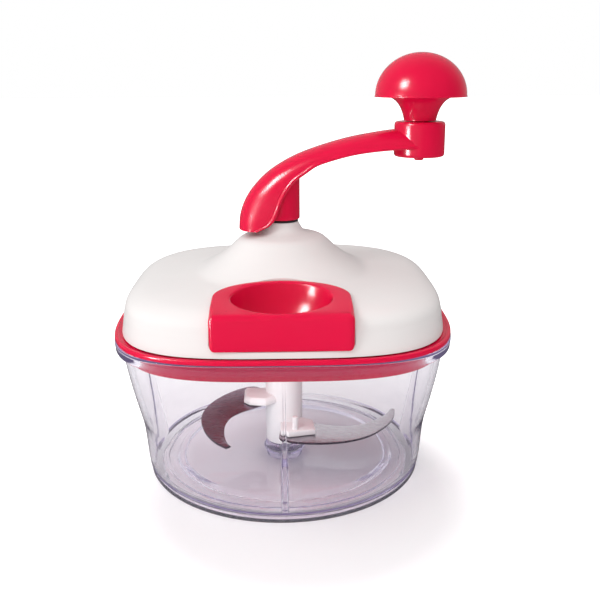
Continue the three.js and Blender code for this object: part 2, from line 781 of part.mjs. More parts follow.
function armRings(inset, below, count) {
  const crest = armCurve(crestShares);
  const lip = armCurve(lipShares);
  return levels(0, 1, count).map((t) => {
    const high = crest.getPoint(t);
    const low = lip.getPoint(t);
    const up = high.clone().sub(low);
    const depth = up.length();
    up.divideScalar(depth);
    const half = armHalfWidth + (bossOuterRadius - armTipInset - armHalfWidth) * t - inset;
    const arc = levels(0, 180, 10).map((angle) => {
      const cosine = Math.cos(angle * rad);
      const side = Math.sign(cosine) * Math.abs(cosine) ** (2 / armExponent) * half;
      const rise = Math.sin(angle * rad) ** (2 / armExponent) * (depth - inset);
      return [side, rise];
    });
    return [[half, -below], ...arc, [-half, -below]].map(([side, rise]) => {
      return new THREE.Vector3(low.x + up.x * rise, side, low.y + up.y * rise);
    });
  });
}

function makeArm() {
  const outside = armRings(0, gap, 12);
  const inside = armRings(armWall, armHollowDepth, 12).slice(0, -3);
  const foot = inside[0].map((point) => new THREE.Vector3(point.x, point.y, armFoot - overrun));
  const channel = loft(outside).subtract(loft([foot, ...inside]));
  const under = loft(armRings(armWall / 2, armRise, 12));
  const post = cylinder(postRadius, postBottom, armCrest + overrun, roundCount).intersect(under);
  const boss = revolve([
    [0, bossBottom],
    [bossOuterRadius - bossEdge, bossBottom],
    [bossOuterRadius, bossBottom + bossEdge],
    [bossOuterRadius, bossTop - bossEdge],
    [bossOuterRadius - bossEdge, bossTop],
    [0, bossTop],
  ]).translate([crankReach, 0, 0]);
  const key = keyFlats + 2 * keySocketClearance;
  const knobBore = cylinder(axleRadius + gap, bossBottom + bossFloor, bossTop + overrun);
  const knobHole = cylinder(screwRadius + gap, bossBottom - overrun, bossTop);
  return joined([channel, post, boss])
    .subtract(block(key, key, postBottom - overrun, hubTop))
    .subtract(cylinder(hubRadius + gap, postBottom - overrun, postBottom + 2 * gap))
    .subtract(cylinder(screwRadius + gap, hubTop - overrun, hubTop + crankScrewLength - keyLength))
    .subtract(joined([knobBore, knobHole]).translate([crankReach, 0, 0]));
}

// Knob: a domed cap on a trumpet-shaped stem whose axle turns in the boss
function makeKnobStem() {
  const bottom = bossTop + gap;
  const top = bottom + stemHeight;
  const flareShares = [[0, 0], [0.03, 0.12], [0.1, 0.32], [0.24, 0.56], [0.48, 0.8], [0.78, 0.94], [1, 1]];
  const width = stemTopRadius - stemRadius;
  const axleBottom = bossBottom + bossFloor + gap;
  return revolve([
    [0, axleBottom],
    [axleRadius, axleBottom],
    [axleRadius, bottom],
    ...flareShares.map(([out, up]) => [stemRadius + out * width, bottom + up * stemHeight]),
    [stemTopRadius, top + stemPlate],
    [0, top + stemPlate],
  ])
    .subtract(cylinder(screwRadius + gap, axleBottom - overrun, bossBottom + knobRivetLength))
    .translate([crankReach, 0, 0]);
}

function makeKnobCap() {
  const rim = bossTop + gap + stemHeight;
  const arc = levels(0, 90, 9).map((angle) => [
    domeRadius * Math.cos(angle * rad),
    rim + domeRise * Math.sin(angle * rad),
  ]);
  const lipRadius = domeRadius + domeLip / 2;
  const outer = revolve([[0, rim], [lipRadius, rim], [lipRadius, rim + domeLip], ...arc.slice(1)]);
  const seat = cylinder(stemTopRadius + gap, rim - overrun, rim + stemPlate + gap, roundCount);
  const hollow = revolve([
    [0, rim],
    [stemTopRadius - domeWall, rim],
    ...levels(15, 90, 4).map((angle) => [
      (stemTopRadius - domeWall) * Math.cos(angle * rad),
      rim + (domeRise - domeWall) * Math.sin(angle * rad),
    ]),
  ]);
  return outer.subtract(seat).subtract(hollow).translate([crankReach, 0, 0]);
}

// Plain bearings
function makeNeckBush() {
  const inner = hubRadius + gap;
  const outer = inner + bushWall;
  const flangeLow = neckTop + gap;
  return revolve([
    [inner, flangeLow - bushLength],
    [outer, flangeLow - bushLength],
    [outer, flangeLow],
    [postRadius - bushInset, flangeLow],
    [postRadius - bushInset, flangeLow + bushFlange],
    [inner, flangeLow + bushFlange],
    [inner, flangeLow - bushLength],
  ]);
}

function makeOutputBush() {
  const inner = spindleRadius + gap;
  return tube(inner + outputBushWall, inner, flangeBottom - outputTubeDepth, flangeTop);
}

addPiece("bowl", makeBowl(), clear);
addPiece("pivot_pin", peg(pinRadius, pinSeat + gap, pinTop, pinEdge), steel);

addPiece("blade_column", makeColumn(), white);
addPiece("lower_blade", makeBlade(lowerUnit), steel);
addPiece("upper_blade", makeBlade(upperUnit), steel);
addPiece("lower_blade_pin", makeRivet(lowerUnit), white);
addPiece("upper_blade_pin", makeRivet(upperUnit), white);

addPiece("lid_base", makeLidBase(), red);
addPiece("cover", makeCover(), white);
addPiece("neck_bush", makeNeckBush(), dark);
addPiece("output_bush", makeOutputBush(), dark);
screwPlaces().forEach(([x, y], i) => {
  const piece = screw(flangeBottom - gap, screwHeadRadius, screwHeadHeight, coverScrewLength);
  addPiece(`cover_screw_${i + 1}`, piece.translate([x, y, 0]), steel);
});
[1, -1].forEach((side, i) => {
  const place = [side * idlerPlace, 0, 0];
  const axle = peg(idlerAxleRadius, flangeTop - axleSeat + gap, gearTop - gap, idlerAxleRadius / 4);
  addPiece(`idler_axle_${i + 1}`, axle.translate(place), steel);
  addPiece(`idler_gear_${i + 1}`, makeIdler().translate(place), white);
});
addPiece("output_pinion", makePinion(), white);
addPiece("drive_ring_gear", makeRingGear(), white);

addPiece("crank_arm", makeArm(), red);
const crankScrewSeat = hubTop - keyLength - overrun - gap;
addPiece("crank_screw", screw(crankScrewSeat, screwHeadRadius, screwHeadHeight, crankScrewLength), steel);
addPiece("knob_stem", makeKnobStem(), red);
addPiece("knob_cap", makeKnobCap(), red);
const knobRivet = screw(bossBottom - gap, knobRivetHeadRadius, knobRivetHeadHeight, knobRivetLength);
addPiece("knob_rivet", knobRivet.translate([crankReach, 0, 0]), red);

addPiece("feed_funnel", makeFunnel(), red);

export default model;
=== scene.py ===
"""The looks of a hand-cranked food chopper: smooth moulded shells over its CAD frame, light and a camera.

Sizes are in millimetres until a mesh is made. The crank and the blades turn about Z, the bowl stands on
Z = 0, the funnel faces -Y and the crank arm points along +X. A profile is a list of radius and height, often
with the fillet of that corner as a third number.
"""

import json
import math

import bmesh
import bpy
import numpy as np
from mathutils import Matrix, Vector

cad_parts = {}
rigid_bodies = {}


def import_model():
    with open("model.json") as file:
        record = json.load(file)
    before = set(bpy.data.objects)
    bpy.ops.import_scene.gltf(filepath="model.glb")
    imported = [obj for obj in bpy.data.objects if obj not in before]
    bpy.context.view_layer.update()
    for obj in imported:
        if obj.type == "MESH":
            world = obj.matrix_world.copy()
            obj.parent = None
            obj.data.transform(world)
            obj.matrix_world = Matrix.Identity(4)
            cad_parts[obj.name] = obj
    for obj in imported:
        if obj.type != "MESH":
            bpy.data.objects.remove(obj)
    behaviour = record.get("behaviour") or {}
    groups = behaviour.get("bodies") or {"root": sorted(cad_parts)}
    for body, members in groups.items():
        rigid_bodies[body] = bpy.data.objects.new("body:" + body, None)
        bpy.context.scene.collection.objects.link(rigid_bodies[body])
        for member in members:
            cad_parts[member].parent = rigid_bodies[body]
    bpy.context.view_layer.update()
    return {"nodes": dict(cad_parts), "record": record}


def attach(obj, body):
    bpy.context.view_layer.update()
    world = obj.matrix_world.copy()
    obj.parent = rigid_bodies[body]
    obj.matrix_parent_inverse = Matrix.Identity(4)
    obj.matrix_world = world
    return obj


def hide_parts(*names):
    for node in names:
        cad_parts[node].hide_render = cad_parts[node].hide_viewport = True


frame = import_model()

MM = 0.001
TINY = 1e-6
GAP = 0.3
SHARP = 35.0
FILLET_LIMIT = 0.49
ROUND = 2.0
RING_POINTS = 240

# Bowl
BOWL_RADIUS = 75.0
BOWL_HEIGHT = 84.2
BOWL_WALL = 2.5
KNEE_HEIGHT = 29.0
KNEE_FLARE = 2.2
KNEE_SOFTNESS = 0.09
RIM_HALF = 82.9
RIM_POWER = 3.45
FLARE_BULGE = 0.2
LIP_WIDTH = 2.6
LIP_HEIGHT = 4.7
PAD_RADIUS = 9.0
PAD_SLOPE = 2.0
FOOT_RADIUS = 74.4
FOOT_INNER = 68.4
FOOT_HEIGHT = 4.0
FOOT_GROOVE = 0.5
WALL_START = 7.0
FLOOR_HEIGHT = 4.3
FLOOR_EDGE = 68.0
FLOOR_FILLET = 2.4
RIDGE_OUTER = 66.6
RIDGE_INNER = 64.4
RIDGE_SLOPE = 0.4
RIDGE_HEIGHT = 0.5
DISC_RADIUS = 58.4
DISC_SLOPE = 2.2
DISC_HEIGHT = 6.5
BOSS_RADIUS = 11.0
BOSS_SLOPE = 1.2
BOSS_HEIGHT = 9.7
PIN_HOLE = 3.3
PIN_HOLE_BOTTOM = 2.5
MIDDLE_RING = 0.4
DISC_RINGS = (54.0, 30.0)
FIN_START = (66.7, 13.5)
FIN_END = (79.5, 74.3)
FIN_FOOT_DRAW = 4.0
FIN_HALF = 2.6
FIN_FULL_RADIUS = 20.0
FIN_TAPER = 0.55
FIN_TAPER_HEIGHT = 20.0
FRONT_FIN_FADE = 0.88
FRONT_FADE_HEIGHT = 8.0
FIN_PATH = [
    (2.0, 0.0), (1.7, 0.02), (1.5, 0.07), (1.4, 0.16), (1.35, 0.35), (1.3, 0.6), (1.25, 0.84), (1.15, 0.93),
    (0.9, 0.98), (0.5, 1.0),
]
CORNER_POINTS = 44
OUTER_LEVELS = [9, 12, 16, 20, 24, 27, 29, 31, 34, 38, 42, 46, 50, 54, 58, 62, 66, 70, 74, 77]
INNER_LEVELS = [
    80, 77, 75.2, 74.7, 74.2, 72, 69, 66, 62, 58, 54, 50, 46, 42, 38, 34, 31, 29, 27, 24, 20, 17, 15, 14,
    13.5, 13, 12, 10.5, 9, 7.5,
]

# Blade unit: its outlines are shares of the blades' reach
COLUMN_RADIUS = 10.3
COLUMN_BOTTOM = 10.0
COLUMN_TOP = 73.3
COLUMN_EDGE = 0.6
PLUG_FLATS = 8.6
PLUG_SINK = 1.0
PLUG_TOP = 81.5
PLUG_CHAMFER = 0.8
BLADE_REACH = 66.7
BLADE_THICKNESS = 1.2
BLADE_SINK = 1.5
BLADE_EDGE = 0.08
BLADE_STEPS = 90
CUTTING_EDGE = (0.2, 0.5)
GRIND_WIDTH = 3.0
GRIND_SHARE = 0.35
GRIND_START = 12
GRIND_OPENING = 6
BLADE_OUTER = [
    (-0.045, -0.322), (-0.024, -0.363), (0.027, -0.394), (0.09, -0.418), (0.165, -0.433), (0.255, -0.442),
    (0.345, -0.441), (0.435, -0.429), (0.517, -0.409), (0.6, -0.376), (0.675, -0.333), (0.75, -0.273),
    (0.822, -0.193), (0.885, -0.109), (0.934, -0.018), (0.969, 0.075), (0.985, 0.168),
]
BLADE_INNER = [
    (0.943, 0.183), (0.925, 0.144), (0.891, 0.093), (0.844, 0.042), (0.789, -0.009), (0.729, -0.054),
    (0.669, -0.09), (0.607, -0.115), (0.544, -0.13), (0.48, -0.129), (0.42, -0.118), (0.366, -0.102),
    (0.255, -0.069),
]
BLADES = {
    "lower": {
        "height": 19.0, "turn": 0.0, "holder_thickness": 3.2, "top_share": 1.0, "rivet": (0.088, -0.292),
        "rivet_end": 7.2,
        "holder": [
            (-0.03, -0.12), (-0.027, -0.305), (0.027, -0.349), (0.255, -0.305), (0.234, -0.12),
            (0.105, -0.045),
        ],
    },
    "upper": {
        "height": 33.0, "turn": -125.0, "holder_thickness": 4.2, "top_share": 0.84, "rivet": (0.195, -0.18),
        "rivet_end": -1.2,
        "holder": [
            (0.03, -0.12), (0.138, -0.31), (0.30, -0.195), (0.315, -0.126), (0.255, 0.0), (0.09, 0.045),
        ],
    },
}
HOLDER_BEVEL = 0.45
RIVET_RADIUS = 1.6
RIVET_HEAD = (3.0, 1.4)

# Lid
FLANGE_HALF = 85.2
FLANGE_BOTTOM = 84.5
FLANGE_TOP = 87.0
LEDGE_INNER = 70.0
LEDGE_STEP = 0.5
RAISED_RIM = (1.4, 2.2)
SKIRT_BOTTOM = 74.9
SKIRT_BEND = 80.0
SKIRT_THICKNESS = 2.0
SKIRT_INSET = 3.0
TUBE_OUTER = 11.7
TUBE_BORE = 9.3
TUBE_BOTTOM = 75.5
SPOUT_HOLE = 6.6
OVERRUN = 3.0
COVER_BOTTOM = FLANGE_TOP + GAP
COVER_WALL = 2.5
COVER_ROUNDING = 1.5
COVER_SIDE_DRAW = 0.019
COVER_DRAW_HEIGHT = 9.0
NECK_TOP = 134.0
NECK_BORE = 7.1
NECK_TUBE = 9.1
NECK_TUBE_BOTTOM = 95.9
NECK_TUBE_TOP = 123.5
COVER_PROFILE = [
    (83, COVER_BOTTOM), (82.3, 89.8), (81.3, 93.3), (80.4, 96.9), (79.6, 100.3), (78.2, 102.4), (75.8, 104.1),
    (72, 105.7), (66, 106.9), (58, 107.8), (50, 108.6), (44, 109.4), (39, 112), (33, 116), (29, 119.2),
    (26.5, 121.6), (24.3, 123.7), (22.6, 125.2), (20.3, 126.4), (17, 127.3), (13.3, 128.3), (10.9, 129.8),
    (9.4, 132), (8.4, NECK_TOP),
]
BUSH = (5.3, 6.8, 8.4)
BUSH_LEVELS = (118.3, 134.3, 135.1)

# Feed funnel: the dish curves are shares of its half width and of its depth
FUNNEL_HALF = 32.5
FUNNEL_SHIFT = -0.7
FUNNEL_FRONT = -83.0
FUNNEL_CENTRE = -58.5
FUNNEL_BACK = 20.0
FUNNEL_BOTTOM = 90.3
FUNNEL_FRONT_TOP = 107.1
FUNNEL_SLOPE = 4.6 / 44.5
FUNNEL_WALL = 2.0
FUNNEL_TOP_WALL = 2.6
FUNNEL_CORNER = 2.6
FUNNEL_RISE = 2.4
FUNNEL_DEPTH = 8.0
FUNNEL_EDGE = 0.7
SHOULDER = (0.9, 2.1)
FRONT_BAND = (2.0, 12.0)
RIM_SHARE = 0.75
WINDOW_TOP = 150.0
WINDOW_FRONT = 6.0
WINDOW_RISE = 2.5
WINDOW_DEPTH = 13.0
DISH_CENTRE = -61.0
DISH_HALF = 23.7
DISH_SQUASH = 0.8
DISH_DEPTH = 19.0
SPOUT_RADIUS = 4.2
SPOUT_WALL = 2.0
SPOUT_BOTTOM = 76.7
DISH_CURVE = [
    (SPOUT_RADIUS / DISH_HALF + 0.03, 1.0), (0.48, 0.93), (0.7, 0.78), (0.85, 0.55), (0.94, 0.3),
    (0.985, 0.1), (1.0, 0.03),
]
DISH_BLEND = 0.4
DISH_RIM = 1.04
DISH_LIP = [(1.012, 0.15), (DISH_RIM, 0.0)]
DISH_UNDERSIDE = [(1.09, 0.16), (1.07, 0.4), (0.98, 0.68), (0.8, 0.9), (0.5, 1.07)]

# Crank and knob: the arm's crest and lip are shares of its length and rise
CRANK_REACH = 71.6
KNOB_AXIS = (CRANK_REACH, 0.0)
ARM_START = -23.628
ARM_FOOT = 130.2
ARM_RISE = 52.0
ARM_HALF = 12.5
ARM_WALL = 2.3
ARM_BEAD = 0.5
BEAD_LEVEL = 0.6
BEAD_HALF = 1.05
BEAD_ARC = (180, 410, 12)
BEAD_INSIDE = 5
ARM_POWER = 2.2
ARCH_POINTS = 31
ARCH_START = (2.2, 1.6)
ARM_NOSE = [(0.0, 0.9), (0.06, 0.35), (0.18, 0.08), (0.4, 0.0)]
ARM_CREST = [
    (0.008, 0), (0.0145, 0.1439), (0.0427, 0.2942), (0.0883, 0.4249), (0.1652, 0.5692), (0.2502, 0.6749),
    (0.3324, 0.7518), (0.4242, 0.8154), (0.5267, 0.8738), (0.6286, 0.9216), (0.7321, 0.9565),
    (0.8578, 0.9891), (1, 1),
]
ARM_LIP = [
    (0.1067, 0), (0.1772, 0.0638), (0.2099, 0.1363), (0.2384, 0.2812), (0.2726, 0.406), (0.3119, 0.4981),
    (0.3731, 0.5806), (0.4327, 0.6531), (0.523, 0.7103), (0.6241, 0.7574), (0.7255, 0.7868), (0.8481, 0.8065),
    (1, 0.8174),
]
POST_RADIUS = 9.3
POST_BOTTOM = 135.4
POST_SOCKET = 3.8
POST_SIDE = [(-0.6, 0.0), (-0.15, 0.2), (0.0, 0.7), (0.0, 4.6), (0.0, 12.6)]
POST_ROOF = [(1.0, 5.5), (0.3, 1.6)]
SOCKET_TOP = 146.0
POST_POINTS = 72
BOSS_OUTER = 13.1
BOSS_BOTTOM = 167.6
BOSS_TOP = 185.6
BOSS_FLOOR = 2.6
BOSS_EDGE = 1.8
DOME_RADIUS = 23.35
DOME_RISE = 22.2
DOME_LIP = (0.25, 0.8)
STEM_RADIUS = 8.3
STEM_HEIGHT = 12.0
STEM_TOP_RADIUS = 17.0
STEM_PLATE = 2.0
STEM_FLARE = [(0, 0), (0.0, 0.04), (0.03, 0.14), (0.1, 0.32), (0.24, 0.56), (0.48, 0.8), (0.78, 0.95), (1, 1)]
AXLE_RADIUS = 4.0
KNOB_RIVET = (2.4, 1.5, 11.7)
RIVET_NUB = 1.8
RIVET_HOLE = KNOB_RIVET[1] + GAP


# Curves and meshes
def without_repeats(points):
    """The points without neighbours that coincide."""
    kept = [points[0]]
    for point in points[1:]:
        if math.dist(point, kept[-1]) > TINY:
            kept.append(point)
    return kept


def spline(points, per_span):
    """Catmull-Rom curve through the points, with per_span steps between each two."""
    p = np.array(points, float)
    p = np.vstack([2 * p[0] - p[1], p, 2 * p[-1] - p[-2]])
    curve = []
    for i in range(1, len(p) - 2):
        knots = [0.0]
        for k in range(i - 1, i + 2):
            knots.append(knots[-1] + max(TINY, np.linalg.norm(p[k + 1] - p[k])) ** 0.5)
        for t in np.linspace(knots[1], knots[2], per_span, endpoint=False):
            a = [
                ((knots[k + 1] - t) * p[i - 1 + k] + (t - knots[k]) * p[i + k]) / (knots[k + 1] - knots[k])
                for k in range(3)
            ]
            b = [
                ((knots[k + 2] - t) * a[k] + (t - knots[k]) * a[k + 1]) / (knots[k + 2] - knots[k])
                for k in range(2)
            ]
            curve.append(((knots[2] - t) * b[0] + (t - knots[1]) * b[1]) / (knots[2] - knots[1]))
    curve.append(p[-2])
    return [tuple(point) for point in curve]


def even_steps(points, count):
    """The open path through the points, walked in count even steps."""
    path = np.array(points, float)
    lengths = np.r_[0, np.cumsum(np.linalg.norm(np.diff(path, axis=0), axis=1))]
    at = np.linspace(0, lengths[-1], count)
    return np.stack([np.interp(at, lengths, path[:, 0]), np.interp(at, lengths, path[:, 1])], 1)


def rounded(points, steps=4):
    """Profile of (radius, height) whose corners are rounded by a third number, their fillet."""
    out = []
    for i, point in enumerate(points):
        if len(point) < 3 or i in (0, len(points) - 1):
            out.append(tuple(point[:2]))
            continue
        here = np.array(point[:2], float)
        back = np.array(points[i - 1][:2], float) - here
        on = np.array(points[i + 1][:2], float) - here
        reach = min(point[2], FILLET_LIMIT * np.linalg.norm(back), FILLET_LIMIT * np.linalg.norm(on))
        start = here + back / np.linalg.norm(back) * reach
        end = here + on / np.linalg.norm(on) * reach
        for t in np.linspace(0, 1, steps + 1):
            out.append(tuple((1 - t) ** 2 * start + 2 * t * (1 - t) * here + t * t * end))
    return without_repeats(out)


def make_mesh(name, vertices, faces, sharp=SHARP):
    """Object from vertices in millimetres, smooth but for edges sharper than the angle."""
    mesh = bpy.data.meshes.new(name)
    mesh.from_pydata((np.array(vertices, float) * MM).tolist(), [], faces)
    work = bmesh.new()
    work.from_mesh(mesh)
    bmesh.ops.remove_doubles(work, verts=work.verts, dist=TINY)
    bmesh.ops.recalc_face_normals(work, faces=work.faces)
    work.to_mesh(mesh)
    work.free()
    shade(mesh, sharp)
    return placed(name, mesh)


def placed(name, data):
    """Object of a mesh, lamp or camera, in the scene."""
    obj = bpy.data.objects.new(name, data)
    bpy.context.scene.collection.objects.link(obj)
    return obj


def shade(mesh, sharp):
    """Smooth shading, split at edges sharper than the angle."""
    mesh.shade_smooth()
    mesh.set_sharp_from_angle(angle=math.radians(sharp))


def loft(name, rings, closed=False, sharp=SHARP, channel=False):
    """Skin over rings with the same number of points. Open ends are capped by a fan, or for a channel section
    by a strip between the outer and the inner half of its ring."""
    rings = [np.array(ring, float) for ring in rings]
    count = len(rings[0])
    vertices = np.vstack(rings).tolist()
    faces = []
    steps = len(rings) if closed else len(rings) - 1
    for step in range(steps):
        low, high = step * count, ((step + 1) % len(rings)) * count
        for i in range(count):
            j = (i + 1) % count
            faces.append((low + i, low + j, high + j, high + i))
    if closed:
        return make_mesh(name, vertices, faces, sharp)
    for ring, base in ((rings[0], 0), (rings[-1], (len(rings) - 1) * count)):
        if channel:
            for i in range(count // 2 - 1):
                faces.append((base + i, base + i + 1, base + count - 2 - i, base + count - 1 - i))
            continue
        centre = len(vertices)
        vertices.append(ring.mean(0).tolist())
        faces += [(base + i, base + (i + 1) % count, centre) for i in range(count)]
    return make_mesh(name, vertices, faces, sharp)


def lathe(name, profile, centre=(0.0, 0.0), count=96, sharp=SHARP, steps=4):
    """Solid of revolution of a profile about an upright axis. Off the axis, the profile closes on itself."""
    angles = even_angles(count)
    closed = profile[0][0] > TINY
    rings = [square_ring(r, ROUND, z, angles) + (*centre, 0.0) for r, z in rounded(profile, steps)]
    if not closed:
        rings = rings[1:-1]
    return loft(name, rings, closed, sharp)


def even_angles(count=RING_POINTS):
    """Angles once round."""
    return np.linspace(0, 2 * math.pi, count, endpoint=False)


ALL_ROUND = even_angles()


def square_ring(half, power, z, angles=ALL_ROUND):
    """Outline between a circle (power 2) and a square, at one height."""
    cosine, sine = np.abs(np.cos(angles)), np.abs(np.sin(angles))
    radius = half / (cosine ** power + sine ** power) ** (1 / power)
    return np.stack([radius * np.cos(angles), radius * np.sin(angles), np.full(len(angles), z)], 1)


def join(name, parts, sharp=SHARP):
    """One object of several, each keeping its own closed surface."""
    work = bmesh.new()
    for part in parts:
        work.from_mesh(part.data)
        bpy.data.objects.remove(part)
    mesh = bpy.data.meshes.new(name)
    work.to_mesh(mesh)
    work.free()
    shade(mesh, sharp)
    return placed(name, mesh)


def modified(obj, kind, sharp, **settings):
    """The object with a modifier made part of its mesh."""
    modifier = obj.modifiers.new("step", kind)
    for name, value in settings.items():
        setattr(modifier, name, value)
    bpy.context.view_layer.update()
    mesh = bpy.data.meshes.new_from_object(obj.evaluated_get(bpy.context.evaluated_depsgraph_get()))
    obj.modifiers.remove(modifier)
    obj.data = mesh
    shade(mesh, sharp)
    return obj


def cut(obj, cutter, sharp=SHARP):
    """The object less the cutter."""
    modified(obj, "BOOLEAN", sharp, operation="DIFFERENCE", solver="EXACT", object=cutter)
    bpy.data.objects.remove(cutter)
    return obj


def bevelled(obj, width, sharp=40.0):
    """The object with its sharp edges rounded."""
    return modified(obj, "BEVEL", sharp, width=width * MM, segments=3, limit_method="ANGLE")


def turned(obj, degrees):
    """The object with its mesh turned about the Z axis."""
    obj.data.transform(Matrix.Rotation(math.radians(degrees), 4, "Z"))
    return obj


# Materials
GROOVE_SHADE = 0.86


def preset(node, values):
    """The node with constant values in its named inputs."""
    for name, value in values.items():
        node.inputs[name].default_value = value
    return node


class Graph:
    """The shader nodes of a material or of the world, and the steps that fill them."""

    def __init__(self, owner):
        owner.use_nodes = True
        self.nodes = owner.node_tree.nodes
        self.link = owner.node_tree.links.new
        self.place = self.nodes.new("ShaderNodeTexCoord").outputs

    def add(self, kind, **settings):
        """Node of a kind, with its settings."""
        node = self.nodes.new("ShaderNode" + kind)
        for name, value in settings.items():
            setattr(node, name, value)
        return node

    def noise(self, scale, detail=3.0, stretch=(1.0, 1.0, 1.0)):
        """Noise texture in object space."""
        mapping = preset(self.add("Mapping"), {"Scale": stretch})
        self.link(self.place["Object"], mapping.inputs["Vector"])
        noise = preset(self.add("TexNoise"), {"Scale": scale, "Detail": detail})
        self.link(mapping.outputs["Vector"], noise.inputs["Vector"])
        return noise.outputs["Fac"]

    def spread(self, source, low=0.0, high=1.0, start=0.3, end=0.7, curve="LINEAR"):
        """Maps a value between start and end to a range."""
        ranged = self.add("MapRange", interpolation_type=curve)
        preset(ranged, {"From Min": start, "From Max": end, "To Min": low, "To Max": high})
        self.link(source, ranged.inputs["Value"])
        return ranged.outputs["Result"]

    def blend(self, share, first, second):
        """Colour between two, each a constant or the output of a node."""
        mix = self.add("Mix", data_type="RGBA")
        for socket, colour in (("A", first), ("B", second)):
            if isinstance(colour, tuple):
                mix.inputs[socket].default_value = (*colour, 1.0)
            else:
                self.link(colour, mix.inputs[socket])
        self.link(share, mix.inputs["Factor"])
        return mix.outputs["Result"]

    def calculate(self, operation, *values, clamp=False):
        """Result from values that are each a constant or the output of a node."""
        node = self.add("Math", operation=operation, use_clamp=clamp)
        for value, socket in zip(values, node.inputs):
            if isinstance(value, float):
                socket.default_value = value
            else:
                self.link(value, socket)
        return node.outputs["Value"]

    def measure(self, operation, vector, place):
        """Result of a vector's distance from a place or of its dot product with one."""
        node = self.add("VectorMath", operation=operation)
        self.link(vector, node.inputs[0])
        node.inputs[1].default_value = place
        return node.outputs["Value"]

    def part(self, vector, axis):
        """A vector's part along an axis."""
        node = self.add("SeparateXYZ")
        self.link(vector, node.inputs["Vector"])
        return node.outputs[axis]

    def mix(self, first, second, share=None):
        """Two shaders together, or with a share the first where it is 0 and the second where it is 1."""
        node = self.add("AddShader" if share is None else "MixShader")
        if share is not None:
            self.link(share, node.inputs[0])
        for source, socket in zip((first, second), list(node.inputs)[-2:]):
            self.link(source.outputs[0], socket)
        return node

    def bump(self, shader, height, strength, distance=0.0002):
        """Fine relief on the shader's surface."""
        node = preset(self.add("Bump"), {"Strength": strength, "Distance": distance})
        self.link(height, node.inputs["Height"])
        self.link(node.outputs["Normal"], shader.inputs["Normal"])


def new_material(name):
    """Material with a bare Principled shader: the material, its graph and the shader."""
    material = bpy.data.materials.new(name)
    graph = Graph(material)
    return material, graph, graph.nodes["Principled BSDF"]


def moulded(name, dark, light, rough, grain=0.02, specular=0.5):
    """Moulded plastic: slight flow marks in the colour, uneven gloss and a fine skin."""
    material, graph, shader = new_material(name)
    flow = graph.spread(graph.noise(18.0, detail=4.0, stretch=(1.0, 1.0, 0.4)))
    graph.link(graph.blend(flow, dark, light), shader.inputs["Base Color"])
    graph.link(graph.spread(graph.noise(55.0), *rough), shader.inputs["Roughness"])
    graph.bump(shader, graph.noise(1400.0, detail=2.0), grain)
    preset(shader, {"Specular IOR Level": specular})
    return material


def clear_plastic(name):
    """Clear moulded plastic that lets lamp light through, violet-blue through its depth, with a painted
    violet glow inside.
    """
    material, graph, shader = new_material(name)
    preset(shader, {"Base Color": (0.93, 0.923, 0.924, 1.0), "IOR": 1.4, "Transmission Weight": 1.0})
    graph.link(graph.spread(graph.noise(30.0, detail=4.0), 0.01, 0.03), shader.inputs["Roughness"])
    graph.bump(shader, graph.noise(45.0, detail=2.0, stretch=(1.0, 1.0, 0.5)), 0.05, distance=0.001)
    shadow = preset(graph.add("BsdfTransparent"), {"Color": (0.985, 0.98, 0.983, 1.0)})
    in_shadow = graph.add("LightPath").outputs["Is Shadow Ray"]
    surface = graph.mix(shader, shadow, in_shadow)
    depth = preset(graph.add("VolumeAbsorption"), {"Color": (0.45, 0.4, 0.58, 1.0), "Density": 20.0})
    # Painted light: a violet glow given off inside the plastic, strongest through its thick parts and along
    # its edges.
    glow = preset(graph.add("Emission"), {"Color": (0.66, 0.52, 1.0, 1.0), "Strength": 8.0})
    output = graph.nodes["Material Output"]
    graph.link(surface.outputs[0], output.inputs["Surface"])
    graph.link(graph.mix(depth, glow).outputs[0], output.inputs["Volume"])
    return material


def with_painted_shade(graph, steel, painted_shade):
    """The steel's colour with painted shade: a dark purple painted reflection and shade far from the centre,
    and painted shade on upright faces, such as a blade's edges.
    """
    # Painted reflection and shade: dark purple on the steel far from the centre.
    away = graph.measure("DISTANCE", graph.place["Object"], painted_shade["centre"])
    far = graph.spread(away, 0.0, 1.0, *painted_shade["reach"])
    steel = graph.blend(far, steel, painted_shade["colour"])
    # Painted shade: near black on upright faces, such as the blades' edges.
    level = graph.calculate("ABSOLUTE", graph.part(graph.place["Normal"], "Z"))
    return graph.blend(graph.spread(level, 1.0, 0.0, *painted_shade["level"]), steel, painted_shade["edge"])


def ground_steel(name, colour, rough, stretch, scale, painted_shade=None):
    """Ground steel: fine grinding lines in the gloss and the surface, with painted shade or without."""
    material, graph, shader = new_material(name)
    lines = graph.noise(scale, detail=5.0, stretch=stretch)
    steel = graph.blend(graph.spread(lines), tuple(GROOVE_SHADE * value for value in colour), colour)
    if painted_shade:
        steel = with_painted_shade(graph, steel, painted_shade)
    graph.link(steel, shader.inputs["Base Color"])
    preset(shader, {"Metallic": 1.0})
    graph.link(graph.spread(lines, *rough), shader.inputs["Roughness"])
    graph.bump(shader, lines, 0.06)
    return material


RED = moulded("red_gloss", (0.68, 0.003, 0.044), (0.72, 0.004, 0.051), (0.18, 0.24), specular=0.25)
COVER = moulded(
    "cover_satin", (0.78, 0.75, 0.74), (0.82, 0.785, 0.775), (0.28, 0.38), grain=0.03, specular=0.35,
)
WHITE = moulded("white_satin", (0.85, 0.86, 0.86), (0.88, 0.89, 0.89), (0.35, 0.45), grain=0.04)
GEAR = moulded("gear_white", (0.76, 0.75, 0.72), (0.80, 0.79, 0.76), (0.4, 0.5), grain=0.04)
DARK = moulded("bush_dark", (0.02, 0.02, 0.024), (0.035, 0.035, 0.04), (0.4, 0.5), grain=0.04)
CLEAR = clear_plastic("clear_bowl")
